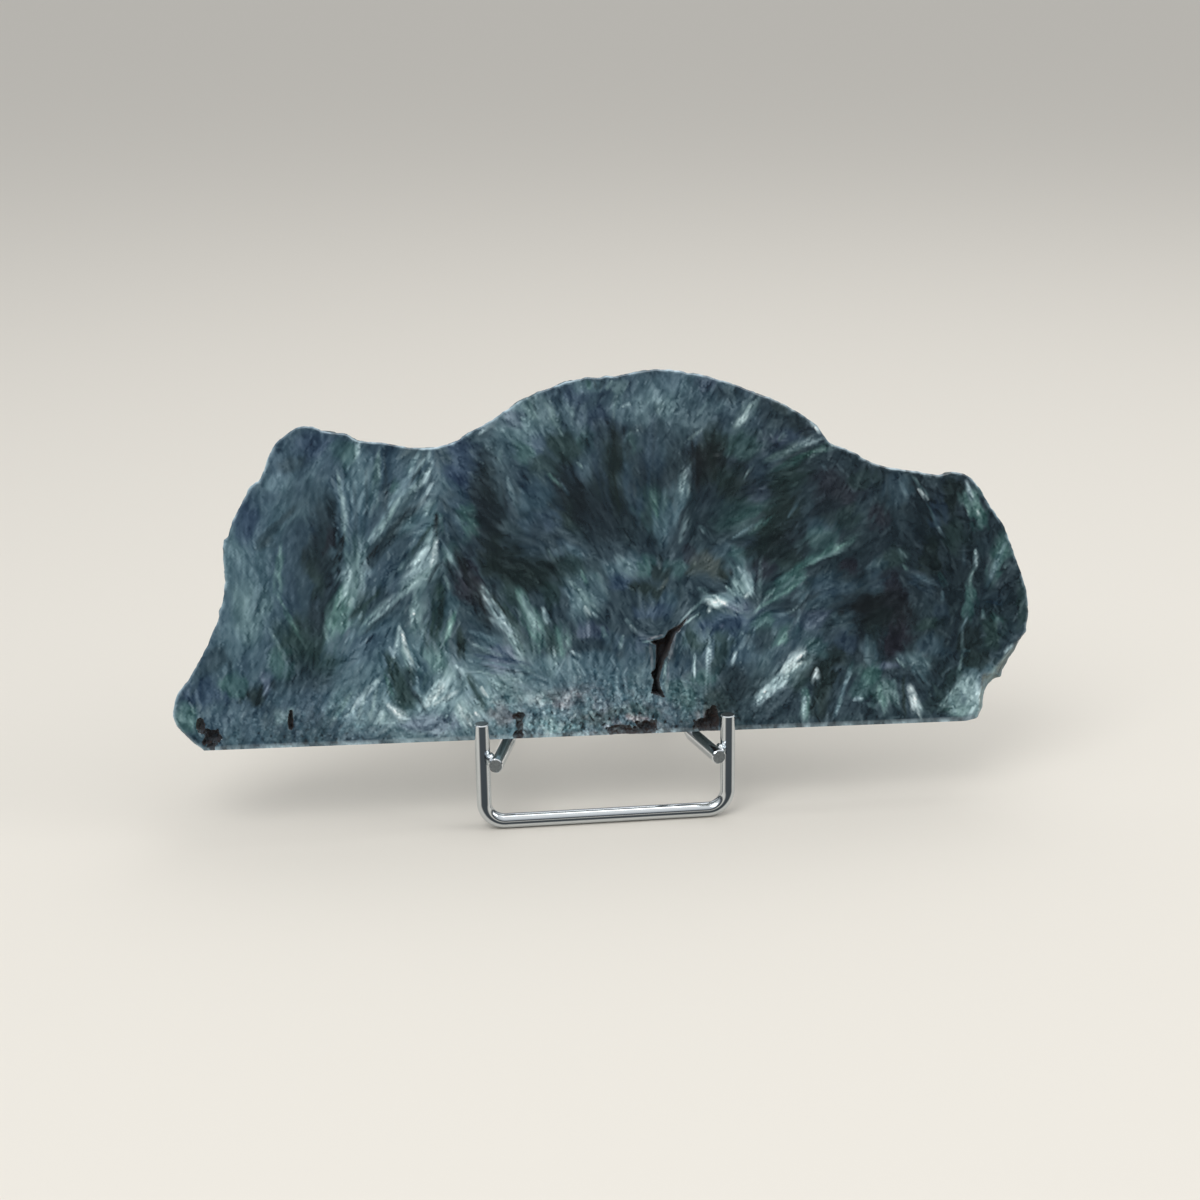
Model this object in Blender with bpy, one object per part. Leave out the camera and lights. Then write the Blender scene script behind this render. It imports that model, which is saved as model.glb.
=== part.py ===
"""Sawn and polished seraphinite slab, leaning in a display stand bent from two chromed rods."""
import math

import bmesh
import bpy
from mathutils import Matrix, Vector, noise

MM = 0.001
OBJECT_NAME = "seraphinite_slab_on_stand"

# Clearance kept between pieces that touch
GAP = 0.3 * MM
FINGER_GAP = 0.42 * MM

# Rod of the stand: chromed steel wire, drawn with sixteen sides
ROD_RADIUS = 2.0 * MM
ROD_BEVEL_RESOLUTION = 6
ROD_SIDES = 4 + 2 * ROD_BEVEL_RESOLUTION
HALF_FACET = math.pi / ROD_SIDES
ROD_REST_HEIGHT = ROD_RADIUS * math.cos(HALF_FACET)
BEND_RADIUS = 5.5 * MM
BEND_STEP = math.radians(11.25)
HAIRPIN_DROP = 3 * BEND_RADIUS

# Front frame: a foot bar with two uprights that stop the slab from sliding off
FRAME_WIDTH = 65.0 * MM
UPRIGHT_TOP = 29.3 * MM

# Rear frame: two arms under the slab, two fingers behind it, two legs and a foot bar
ARM_HEIGHT = 19.2 * MM
ARM_OVERHANG = 4.8 * MM
ARM_TOE_IN = math.radians(14.7)
FINGER_LEAN = math.radians(12.5)
HAIRPIN_APEX = 90.0 * MM
REAR_FOOT = 74.0 * MM

# Slab: sawn flat along its foot, leaning back; it and the arms sit slightly out of level
SLAB_THICKNESS = 9.0 * MM
SLAB_LEAN = math.radians(15.0)
OUT_OF_LEVEL = math.radians(0.84)
RIM_CUTS = 3
RIM_ROUGHNESS = 0.9 * MM
RIM_UNDERCUT = 1.6 * MM
RIM_LUMP_SIZE = 7.0 * MM
RIM_CHIP_SIZE = 3.0 * MM
RIM_CHIP_SHARE = 0.5
SAWN_FOOT_HEIGHT = 0.6 * MM
CURVE_STEPS = 4
NEARLY_FLAT = 0.01
MERGE_DISTANCE = 0.01 * MM

# Outline of the polished face in millimetres, along the sawn foot and up the face.
# It runs clockwise from the foot's left end; a corner is a sharp turn, the rest is smooth.
SLAB_OUTLINE = [
    (-104.5, 0.0, "corner"), (-108.6, 3.6, "smooth"), (-111.8, 8.0, "smooth"), (-111.6, 12.6, "smooth"),
    (-107.0, 20.0, "smooth"), (-102.4, 28.0, "smooth"), (-99.5, 35.2, "smooth"), (-97.6, 44.0, "smooth"),
    (-98.0, 50.8, "smooth"), (-97.1, 54.6, "corner"), (-96.2, 55.2, "smooth"), (-94.4, 60.6, "smooth"),
    (-90.8, 67.8, "smooth"), (-87.4, 70.2, "corner"), (-83.2, 79.8, "smooth"), (-76.4, 83.4, "smooth"),
    (-66.6, 81.2, "smooth"), (-62.0, 78.6, "smooth"), (-48.6, 77.2, "smooth"), (-40.2, 77.4, "smooth"),
    (-31.0, 81.8, "smooth"), (-16.4, 90.0, "smooth"), (-4.0, 94.0, "smooth"), (1.2, 94.4, "corner"),
    (5.4, 94.6, "smooth"), (14.6, 95.9, "smooth"), (24.6, 95.0, "smooth"), (31.4, 93.4, "smooth"),
    (41.6, 89.8, "smooth"), (51.0, 85.6, "smooth"), (58.8, 80.4, "corner"), (62.0, 76.0, "smooth"),
    (68.0, 73.2, "smooth"), (74.8, 69.6, "smooth"), (82.4, 68.0, "smooth"), (91.8, 66.3, "corner"),
    (97.8, 66.8, "smooth"), (102.3, 63.2, "smooth"), (105.6, 57.8, "smooth"), (109.4, 52.2, "corner"),
    (111.8, 45.2, "smooth"), (114.8, 36.2, "smooth"), (115.6, 29.0, "smooth"), (114.6, 23.4, "smooth"),
    (111.4, 17.4, "corner"), (105.6, 10.4, "smooth"), (103.6, 5.6, "corner"), (101.2, 0.8, "smooth"),
    (98.0, 0.0, "corner"),
]

# Open crack in the polished face: its lips, clockwise from the tip of the vein above it
CRACK_OUTLINE = [
    (23.6, 31.3), (20.9, 27.2), (19.4, 26.0), (18.3, 23.5), (17.4, 20.9), (16.3, 19.2), (15.6, 17.3),
    (14.8, 14.1), (15.1, 12.2), (16.3, 9.4), (14.5, 10.1), (12.7, 10.7), (13.0, 12.0), (13.5, 14.2),
    (12.7, 16.0), (14.0, 17.1), (14.3, 20.8), (14.4, 23.4), (12.8, 24.3), (16.5, 25.2), (17.6, 27.0),
    (20.5, 28.5),
]
CRACK_DEPTH = 5.5 * MM
CUTTER_PROUD = 1.0 * MM

# Pits along the foot in millimetres: middle along and up, then width, height and depth
PITS = {
    "corner_hollow": (-102.6, 2.4, 7.0, 8.4, 3.6),
    "corner_cleft": (-105.4, 6.2, 2.6, 5.2, 2.2),
    "left_slit": (-81.9, 7.4, 1.5, 5.0, 2.2),
    "left_slot": (-22.9, 3.6, 1.9, 7.6, 2.6),
    "foot_pit_west": (4.4, 1.2, 5.6, 2.8, 2.0),
    "foot_pit_east": (10.8, 2.0, 6.4, 3.6, 2.4),
    "brown_pocket": (27.4, 3.6, 5.4, 6.2, 3.4),
    "pocket_spur": (24.6, 5.6, 4.6, 1.9, 1.8),
}
PIT_ROUGHNESS = 0.3
PIT_LUMPS = 4.0

# Broken edge at the lower right: where each fracture meets the face, its run and its lie
FRACTURES = {
    "lower_break": ((101.6, 5.5), 15.6, math.radians(84.0)),
    "upper_break": ((112.2, 20.7), 22.0, math.radians(46.5)),
}
FRACTURE_SLOPE = math.radians(35.0)
FRACTURE_REACH = 12.0 * MM
FRACTURE_DEPTH = 3 * SLAB_THICKNESS


def new_collection(name):
    """Add a collection to the scene."""
    collection = bpy.data.collections.new(name)
    bpy.context.scene.collection.children.link(collection)
    return collection


def new_material(name, color, metallic, roughness):
    """Make a Principled material."""
    material = bpy.data.materials.new(name)
    material.use_nodes = True
    shader = material.node_tree.nodes["Principled BSDF"]
    shader.inputs["Base Color"].default_value = (*color, 1.0)
    shader.inputs["Metallic"].default_value = metallic
    shader.inputs["Roughness"].default_value = roughness
    return material


def add_object(name, data, collection, material=None):
    """Put a mesh or a curve in the scene as a named object."""
    piece = bpy.data.objects.new(name, data)
    collection.objects.link(piece)
    if material:
        data.materials.append(material)
    return piece


def rounded_path(corners):
    """Points of a wire bent at every inner corner with the same radius."""
    points = [corners[0]]
    for before, corner, after in zip(corners, corners[1:], corners[2:]):
        arriving = (corner - before).normalized()
        leaving = (after - corner).normalized()
        turn = arriving.angle(leaving)
        start = corner - arriving * BEND_RADIUS * math.tan(turn / 2)
        inward = (leaving - arriving * math.cos(turn)).normalized()
        steps = math.ceil(turn / BEND_STEP)
        for step in range(steps + 1):
            swept = turn * step / steps
            along = arriving * math.sin(swept) + inward * (1 - math.cos(swept))
            points.append(start + along * BEND_RADIUS)
    points.append(corners[-1])
    return points


def bent_rod(name, corners, twist_mode, collection, material):
    """A rod through the corners, turned so that a facet and not an edge faces down."""
    curve = bpy.data.curves.new(name, "CURVE")
    curve.dimensions = "3D"
    curve.twist_mode = twist_mode
    curve.bevel_depth = ROD_RADIUS
    curve.bevel_resolution = ROD_BEVEL_RESOLUTION
    curve.use_fill_caps = True
    points = rounded_path(corners)
    spline = curve.splines.new("POLY")
    spline.points.add(len(points) - 1)
    for spline_point, place in zip(spline.points, points):
        spline_point.co = (*place, 1.0)
        spline_point.tilt = HALF_FACET
    return add_object(name, curve, collection, material)


def level_at(x):
    """Height lost towards the right, because arms and slab sit out of level."""
    return -x * math.tan(OUT_OF_LEVEL)


def front_frame(collection, material):
    """Foot bar and two uprights, one rod."""
    side = FRAME_WIDTH / 2
    corners = [
        Vector((-side, 0.0, UPRIGHT_TOP + level_at(-side))),
        Vector((-side, 0.0, ROD_REST_HEIGHT)),
        Vector((side, 0.0, ROD_REST_HEIGHT)),
        Vector((side, 0.0, UPRIGHT_TOP + level_at(side))),
    ]
    return bent_rod("front_frame", corners, "MINIMUM", collection, material)


def rear_side(side):
    """Corners of one side of the rear frame, from the arm's front end to the foot."""
    beside_upright = FRAME_WIDTH / 2 - 2 * ROD_RADIUS - GAP
    touch_height = HAIRPIN_APEX - HAIRPIN_DROP
    touch_y = slab_back_at(touch_height) + ROD_RADIUS + FINGER_GAP
    finger_foot = touch_y - (touch_height - ARM_HEIGHT) * math.tan(FINGER_LEAN)
    front_x = side * (beside_upright + ARM_OVERHANG * math.tan(ARM_TOE_IN))
    back_x = side * (beside_upright - finger_foot * math.tan(ARM_TOE_IN))
    apex_y = finger_foot + (HAIRPIN_APEX - ARM_HEIGHT) * math.tan(FINGER_LEAN)
    return [
        Vector((front_x, -ARM_OVERHANG, ARM_HEIGHT + level_at(front_x))),
        Vector((back_x, finger_foot, ARM_HEIGHT + level_at(back_x))),
        Vector((back_x, apex_y, HAIRPIN_APEX)),
        Vector((back_x, REAR_FOOT, ROD_REST_HEIGHT)),
    ]


def rear_frame(collection, material):
    """Arms, fingers, legs and rear foot bar, one rod."""
    corners = rear_side(-1) + rear_side(1)[::-1]
    return bent_rod("rear_frame", corners, "Z_UP", collection, material)


def slab_front_edge():
    """Middle of the slab's front lower edge: behind the uprights, its back edge on the arms."""
    y = ROD_RADIUS + GAP
    z = ARM_HEIGHT + ROD_RADIUS + GAP + SLAB_THICKNESS * math.sin(SLAB_LEAN)
    return Vector((0.0, y, z))


def slab_back_at(height):
    """How far back the slab's rear face is at a height."""
    edge = slab_front_edge()
    lower_back_y = edge.y + SLAB_THICKNESS * math.cos(SLAB_LEAN)
    lower_back_z = edge.z - SLAB_THICKNESS * math.sin(SLAB_LEAN)
    return lower_back_y + (height - lower_back_z) * math.tan(SLAB_LEAN)


def outline_curve(name, outline, thickness, steps):
    """Flat filled curve with thickness, its points in millimetres."""
    curve = bpy.data.curves.new(name, "CURVE")
    curve.dimensions = "2D"
    curve.fill_mode = "BOTH"
    curve.extrude = thickness / 2
    spline = curve.splines.new("BEZIER")
    spline.use_cyclic_u = True
    spline.resolution_u = steps
    spline.bezier_points.add(len(outline) - 1)
    for point, (x, y, turn) in zip(spline.bezier_points, outline):
        point.co = (x * MM, y * MM, 0.0)
        handle = "VECTOR" if turn == "corner" else "AUTO"
        point.handle_left_type = handle
        point.handle_right_type = handle
    return curve


def mesh_from_curve(curve, collection, shift):
    """Closed mesh of a curve, moved along its thickness; the curve is removed."""
    guide = add_object(curve.name, curve, collection)
    bpy.context.view_layer.update()
    evaluated = guide.evaluated_get(bpy.context.evaluated_depsgraph_get())
    mesh = bpy.data.meshes.new_from_object(evaluated)
    name = curve.name
    bpy.data.objects.remove(guide)
    bpy.data.curves.remove(curve)
    mesh.name = name
    mesh.transform(Matrix.Translation((0.0, 0.0, shift)))
    solid = bmesh.new()
    solid.from_mesh(mesh)
    bmesh.ops.remove_doubles(solid, verts=solid.verts, dist=MERGE_DISTANCE)
    bmesh.ops.recalc_face_normals(solid, faces=solid.faces)
    solid.to_mesh(mesh)
    solid.free()
    return mesh


def is_flat_fill(edge):
    """Whether an edge lies inside the front or the back face."""
    return all(abs(face.normal.z) > 1 - NEARLY_FLAT for face in edge.link_faces)


def roughen_rim(mesh):
    """Cut the rim into rings and give them the lumps and undercut of a natural rind."""
    solid = bmesh.new()
    solid.from_mesh(mesh)
    fill = [edge for edge in solid.edges if is_flat_fill(edge)]
    bmesh.ops.dissolve_edges(solid, edges=fill, use_verts=False)
    through = [e for e in solid.edges if abs(e.verts[0].co.z - e.verts[1].co.z) > SLAB_THICKNESS / 2]
    bmesh.ops.subdivide_edges(solid, edges=through, cuts=RIM_CUTS, use_grid_fill=True)
    solid.normal_update()
    moved = []
    for vert in solid.verts:
        depth = -vert.co.z / SLAB_THICKNESS
        if depth < NEARLY_FLAT or vert.co.y < SAWN_FOOT_HEIGHT:
            continue
        outward = Vector((vert.normal.x, vert.normal.y, 0.0)).normalized()
        lump = noise.noise(vert.co / RIM_LUMP_SIZE) + RIM_CHIP_SHARE * noise.noise(vert.co / RIM_CHIP_SIZE)
        offset = lump * RIM_ROUGHNESS * min(1.0, 2 * depth) - RIM_UNDERCUT * depth ** 2
        moved.append((vert, outward * offset))
    for vert, offset in moved:
        vert.co += offset
    solid.to_mesh(mesh)
    solid.free()


def add_cut(piece, cutter):
    """Cut one solid out of another."""
    cutter.hide_render = True
    cutter.display_type = "WIRE"
    cut = piece.modifiers.new(cutter.name, "BOOLEAN")
    cut.operation = "DIFFERENCE"
    cut.object = cutter


def crack_cutter(collection):
    """Solid that opens the crack from the polished face inwards."""
    lips = [(x, y, "corner") for x, y in CRACK_OUTLINE]
    curve = outline_curve("crack_cutter", lips, CRACK_DEPTH + CUTTER_PROUD, 1)
    mesh = mesh_from_curve(curve, collection, (CUTTER_PROUD - CRACK_DEPTH) / 2)
    return add_object("crack_cutter", mesh, collection)


def pit_cutter(name, middle_x, middle_y, width, height, depth, collection):
    """Lumpy ball, half of it in front of the polished face."""
    ball = bmesh.new()
    bmesh.ops.create_icosphere(ball, subdivisions=2, radius=0.5)
    seed = Vector((middle_x, middle_y, depth))
    for vert in ball.verts:
        vert.co *= 1.0 + PIT_ROUGHNESS * noise.noise(vert.co * PIT_LUMPS + seed)
    size = Matrix.Diagonal((width * MM, height * MM, 2 * depth * MM, 1.0))
    place = Matrix.Translation((middle_x * MM, middle_y * MM, 0.0))
    bmesh.ops.transform(ball, matrix=place @ size, verts=ball.verts)
    mesh = bpy.data.meshes.new(name)
    ball.to_mesh(mesh)
    ball.free()
    return add_object(name, mesh, collection)


def fracture_cutter(name, meeting, run, lie, collection):
    """Block whose slanted side leaves a broken bevel from the face to the rim."""
    block = bmesh.new()
    bmesh.ops.create_cube(block, size=1.0)
    size = Matrix.Diagonal((run * MM, FRACTURE_REACH, FRACTURE_DEPTH, 1.0))
    beside = Matrix.Translation((0.0, -FRACTURE_REACH / 2, 0.0))
    slant = Matrix.Rotation(-FRACTURE_SLOPE, 4, "X")
    turn = Matrix.Rotation(lie, 4, "Z")
    place = Matrix.Translation((meeting[0] * MM, meeting[1] * MM, 0.0))
    bmesh.ops.transform(block, matrix=place @ turn @ slant @ beside @ size, verts=block.verts)
    mesh = bpy.data.meshes.new(name)
    block.to_mesh(mesh)
    block.free()
    return add_object(name, mesh, collection)


def slab(parts, cutters, material):
    """The stone: polished face at its local z = 0, sawn foot along its local x axis."""
    curve = outline_curve("slab", SLAB_OUTLINE, SLAB_THICKNESS, CURVE_STEPS)
    mesh = mesh_from_curve(curve, parts, -SLAB_THICKNESS / 2)
    roughen_rim(mesh)
    piece = add_object("slab", mesh, parts, material)
    piece.location = slab_front_edge()
    piece.rotation_euler = (math.pi / 2 - SLAB_LEAN, OUT_OF_LEVEL, 0.0)
    tools = [crack_cutter(cutters)]
    tools += [pit_cutter(name, *pit, cutters) for name, pit in PITS.items()]
    tools += [fracture_cutter(name, *fracture, cutters) for name, fracture in FRACTURES.items()]
    for cutter in tools:
        cutter.location = piece.location
        cutter.rotation_euler = piece.rotation_euler
        add_cut(piece, cutter)
    return piece


def centre_on_footprint(root, pieces):
    """Move the root so that the origin is the middle of the object's base."""
    bpy.context.view_layer.update()
    depsgraph = bpy.context.evaluated_depsgraph_get()
    places = []
    for piece in pieces:
        evaluated = piece.evaluated_get(depsgraph)
        mesh = evaluated.to_mesh()
        places += [evaluated.matrix_world @ vert.co for vert in mesh.vertices]
        evaluated.to_mesh_clear()
    for axis in (0, 1):
        reach = [place[axis] for place in places]
        root.location[axis] = -(min(reach) + max(reach)) / 2
    root.location.z = -min(place.z for place in places)


for leftover in list(bpy.data.objects):
    bpy.data.objects.remove(leftover)

parts = new_collection(OBJECT_NAME)
cutters = new_collection("cutters")
polished_stone = new_material("polished_seraphinite", (0.05, 0.09, 0.09), 0.0, 0.25)
chromed_rod = new_material("chromed_rod", (0.62, 0.64, 0.66), 1.0, 0.12)

root = add_object("stand_base", None, parts)
pieces = [
    front_frame(parts, chromed_rod),
    rear_frame(parts, chromed_rod),
    slab(parts, cutters, polished_stone),
]
for child in pieces + list(cutters.objects):
    child.parent = root
centre_on_footprint(root, pieces)
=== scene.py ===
import math

import bpy
import numpy as np
from mathutils import Matrix, Vector, geometry, kdtree, noise


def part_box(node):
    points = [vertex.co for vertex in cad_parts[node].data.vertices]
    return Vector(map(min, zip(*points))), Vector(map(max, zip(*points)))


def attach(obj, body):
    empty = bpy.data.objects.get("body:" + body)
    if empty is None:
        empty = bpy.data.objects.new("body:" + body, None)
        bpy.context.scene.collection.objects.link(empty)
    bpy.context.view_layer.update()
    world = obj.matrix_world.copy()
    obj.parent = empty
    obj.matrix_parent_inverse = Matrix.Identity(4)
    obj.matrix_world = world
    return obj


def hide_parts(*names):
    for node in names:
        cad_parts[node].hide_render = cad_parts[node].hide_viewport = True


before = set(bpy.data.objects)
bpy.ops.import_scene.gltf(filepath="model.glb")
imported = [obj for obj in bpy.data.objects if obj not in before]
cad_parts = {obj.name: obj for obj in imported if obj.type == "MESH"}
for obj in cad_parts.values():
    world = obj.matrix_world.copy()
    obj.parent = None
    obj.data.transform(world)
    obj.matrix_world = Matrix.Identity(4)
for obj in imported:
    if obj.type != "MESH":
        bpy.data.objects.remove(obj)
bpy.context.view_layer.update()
mm = 0.001


def hexValues(code):
    # sRGB hex to three values from 0 to 1, as the screen has them
    return np.array([int(code[i:i + 2], 16) / 255 for i in (1, 3, 5)])


def toLinear(screen):
    screen = hexValues(screen) if isinstance(screen, str) else screen
    return np.where(screen <= 0.04045, screen / 12.92, ((screen + 0.055) / 1.055) ** 2.4)


def paint(code):
    return (*toLinear(code), 1.0)


def smoothStep(low, high, value):
    t = np.clip((value - low) / (high - low), 0.0, 1.0)
    return t * t * (3 - 2 * t)


def addNode(tree, kind, settings=None, links=None):
    # settings are the node's own, links are its inputs: each a value or another node's output
    node = tree.nodes.new(kind)
    for key, value in (settings or {}).items():
        setattr(node, key, value)
    for key, value in (links or {}).items():
        if isinstance(value, bpy.types.NodeSocket):
            tree.links.new(value, node.inputs[key])
        else:
            node.inputs[key].default_value = value
    return node


def newTree(name):
    material = bpy.data.materials.new(name)
    material.use_nodes = True
    material.node_tree.nodes.clear()
    return material, material.node_tree


def addPiece(name, mesh, materials):
    piece = bpy.data.objects.new(name, mesh)
    bpy.context.scene.collection.objects.link(piece)
    for material in materials:
        mesh.materials.append(material)
    return piece


# How the stand was bent, in millimetres and degrees, measured from the middle between its uprights
standShape = {
    "frameWidth": 65.0,
    "uprightTop": 29.3,
    "armHeight": 19.2,
    "armOverhang": 4.8,
    "armToeIn": 14.7,
    "fingerLean": 12.5,
    "hairpinApex": 90.0,
    "hairpinDrop": 16.5,  # how far under the apex a finger touches the slab
    "rearFoot": 74.0,
    "wireRadius": 2.0,
    "gap": 0.3,
    "fingerGap": 0.42,
}
frameLow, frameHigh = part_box("front_frame")
standPlace = Vector((frameLow.x + frameHigh.x, frameLow.y + frameHigh.y, 0)) / 2 / mm

# The slab as it was sawn. Along the foot is x, up the face is y, both in millimetres;
# z is 0 at the polished face and goes down into the stone.
slabShape = {
    "lean": 15.0,
    "outOfLevel": 0.84,
    "thickness": 9.0,
    "edgeSpacing": 0.56,
    "facePitch": 0.52,
    "backPitch": 1.6,
    "brokenPitch": 0.26,
    "arris": 0.45,
    "footArris": 0.8,
    "arrisDrop": 0.9,  # how far it falls, as a share of its width
    "arrisClear": 0.25,
    "edgeJitter": 0.32,
    "edgeChip": 1.8,
    "rimRings": 8,
    "rimRoughness": 1.2,
    "rimUndercut": 1.6,
    "lumpSize": 7.0,
    "chipSize": 3.0,
    "grainSize": 1.1,
    "gritSize": 0.5,
    "crackDepth": 5.5,
    "sawnBelow": 0.3,  # how far up the rim the saw cut of the foot reaches
    "hollowFrom": 0.3,  # a face is a crack's or a pit's wall from this depth on, and a break's from the next
    "breakFrom": 0.02,
    "sharpAngle": 38.0,
    # left, right, low and high of what is meshed: the face, the back, and the finer part round the crack
    "faceBox": (-114, 118, 0, 98),
    "backBox": (-114, 118, 1, 98),
    "crackBox": (11.5, 25, 8.5, 32.5),
    # clockwise from the foot's left end, smooth but for its corners
    "outline": [
        (-104.5, 0.0, "corner"), (-108.6, 3.6), (-111.8, 8.0), (-111.6, 12.6), (-107.0, 20.0),
        (-102.4, 28.0), (-99.5, 35.2), (-97.6, 44.0), (-98.0, 50.8), (-97.5, 54.5, "corner"),
        (-96.4, 55.4, "corner"), (-94.9, 60.0), (-92.9, 63.4), (-90.4, 68.0, "corner"),
        (-88.1, 69.4, "corner"), (-86.6, 72.2), (-84.6, 77.2), (-81.6, 80.7), (-78.4, 82.7, "corner"),
        (-75.8, 83.2), (-70.5, 81.8), (-65.2, 81.0, "corner"), (-62.2, 79.0, "corner"), (-56.0, 78.5),
        (-48.6, 77.2), (-40.2, 77.4), (-31.0, 81.8), (-16.4, 90.0), (-4.0, 94.0), (1.2, 94.4, "corner"),
        (5.4, 94.6), (14.6, 95.9), (24.6, 95.0), (31.4, 93.4), (41.6, 89.8), (51.0, 85.6),
        (58.8, 80.4, "corner"), (62.0, 76.0), (68.0, 73.2), (74.8, 69.6), (82.4, 68.0),
        (91.8, 66.3, "corner"), (97.8, 66.8), (102.3, 63.2), (105.6, 57.8), (109.4, 52.2, "corner"),
        (111.8, 45.2), (114.8, 36.2), (115.6, 29.0), (114.8, 23.4, "corner"), (112.8, 20.0),
        (110.8, 15.4), (108.6, 11.6, "corner"), (106.6, 10.5), (104.2, 7.6, "corner"), (103.5, 4.6),
        (101.6, 1.2), (98.0, 0.0, "corner"),
    ],
    "crackLips": [
        (23.6, 31.3), (20.9, 27.2), (19.4, 26.0), (18.3, 23.5), (17.4, 20.9), (16.3, 19.2), (15.6, 17.3),
        (14.8, 14.1), (15.1, 12.2), (16.3, 9.4), (14.5, 10.1), (12.7, 10.7), (13.0, 12.0), (13.5, 14.2),
        (12.7, 16.0), (14.0, 17.1), (14.3, 20.8), (14.4, 23.4), (12.8, 24.3), (16.5, 25.2), (17.6, 27.0),
        (20.5, 28.5),
    ],
    # middle x, y, width, height and depth
    "pits": {
        "cornerHollow": (-102.6, 3.2, 4.4, 5.6, 3.0),
        "cornerCleft": (-105.2, 6.4, 1.9, 3.8, 1.8),
        "leftSlit": (-82.0, 7.2, 1.3, 4.6, 2.0),
        "slotHead": (-22.6, 5.9, 2.6, 1.9, 2.0),
        "slotWaist": (-22.5, 3.8, 1.5, 5.4, 2.0),
        "slotFoot": (-23.0, 1.3, 2.6, 1.9, 2.0),
        "footPitWest": (4.4, 1.2, 5.6, 2.8, 2.0),
        "footPitEast": (10.8, 2.0, 6.4, 3.6, 2.4),
        "brownPocket": (28.8, 3.8, 3.0, 6.6, 3.0),
        "pocketSpur": (26.3, 1.7, 5.4, 3.0, 2.6),
    },
    # where the broken bevel meets the face, its run and its lie in degrees
    "breaks": [((101.6, 5.5), 15.6, 84.0), ((112.2, 20.7), 22.0, 46.5)],
    "breakSlope": 35.0,
    "breakKeeps": 1.2,  # the stone left under a break
}

# The feather pattern of the polished face, in the same millimetres
# silver, frost and white are the plumes' own paler fibres together with their silky sheen, which is painted
# into the colour
stoneTones = {
    "night": "#131b20", "deepGreen": "#1b2a2c", "ink": "#202f38", "bottle": "#2a3f41",
    "slateDark": "#2e404b", "slate": "#3c5364", "inkBlue": "#374b62", "haze": "#546e7d", "mist": "#67828f",
    "silver": "#7f99a0", "frost": "#b0c8d3", "white": "#d6e6ee", "fern": "#46686a", "paleFern": "#6d9190",
    "lilac": "#66738a", "plum": "#1f1f2a", "umber": "#46504f", "pink": "#85868f", "pitDark": "#1d1615",
}
patternField = {"left": -118.0, "right": 120.0, "low": -4.0, "high": 100.0, "pitch": 0.25, "flowPitch": 0.5}

# middle x, y, reach x, reach y, then the point that the fibres spread from
fibreFlows = {
    "leftHaze": (-94, 45, 10, 30, -96, -40),
    "darkBand": (-75, 42, 7, 26, -79, -30),
    "greenBand": (-66, 58, 6, 20, -67, 8),
    "leftPlume": (-57, 60, 7, 18, -71, 34),
    "lowerPlume": (-58, 32, 9, 12, -77, 13),
    "spineLeft": (-48, 57, 5, 22, -22, 92),
    "spineRight": (-36, 58, 5, 18, -62, 98),
    "chevrons": (-42, 36, 5, 10, -42, 62),
    "lowerLeft": (-55, 10, 10, 10, -70, 2),
    "domeLeft": (-17, 74, 16, 18, 12, 34),
    "domeTop": (10, 76, 14, 22, 12, 30),
    "domeRight": (38, 74, 14, 18, 10, 36),
    "notchStreak": (56, 74, 8, 4, 10, 56),
    "greenDiagonal": (56, 42, 14, 10, 22, 17),
    "feathers": (-22, 32, 10, 14, -40, 58),
    "middleLow": (-4, 26, 9, 10, -2, 60),
    "besideCrack": (27, 18, 8, 8, 27, 60),
    "whiteDrift": (49, 15, 8, 8, 36, -1),
    "footFan": (71, 8, 9, 8, 66, -12),
    "triangleFan": (85, 8, 5, 6, 82, 16),
    "rightVeins": (97, 35, 6, 18, 100, 120),
    "rightLean": (88, 58, 6, 9, 70, 96),
    "rightEnd": (107, 40, 6, 16, 92, 8),
    "lilacFoot": (-26, 17, 9, 5, -60, 27),
}

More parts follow.
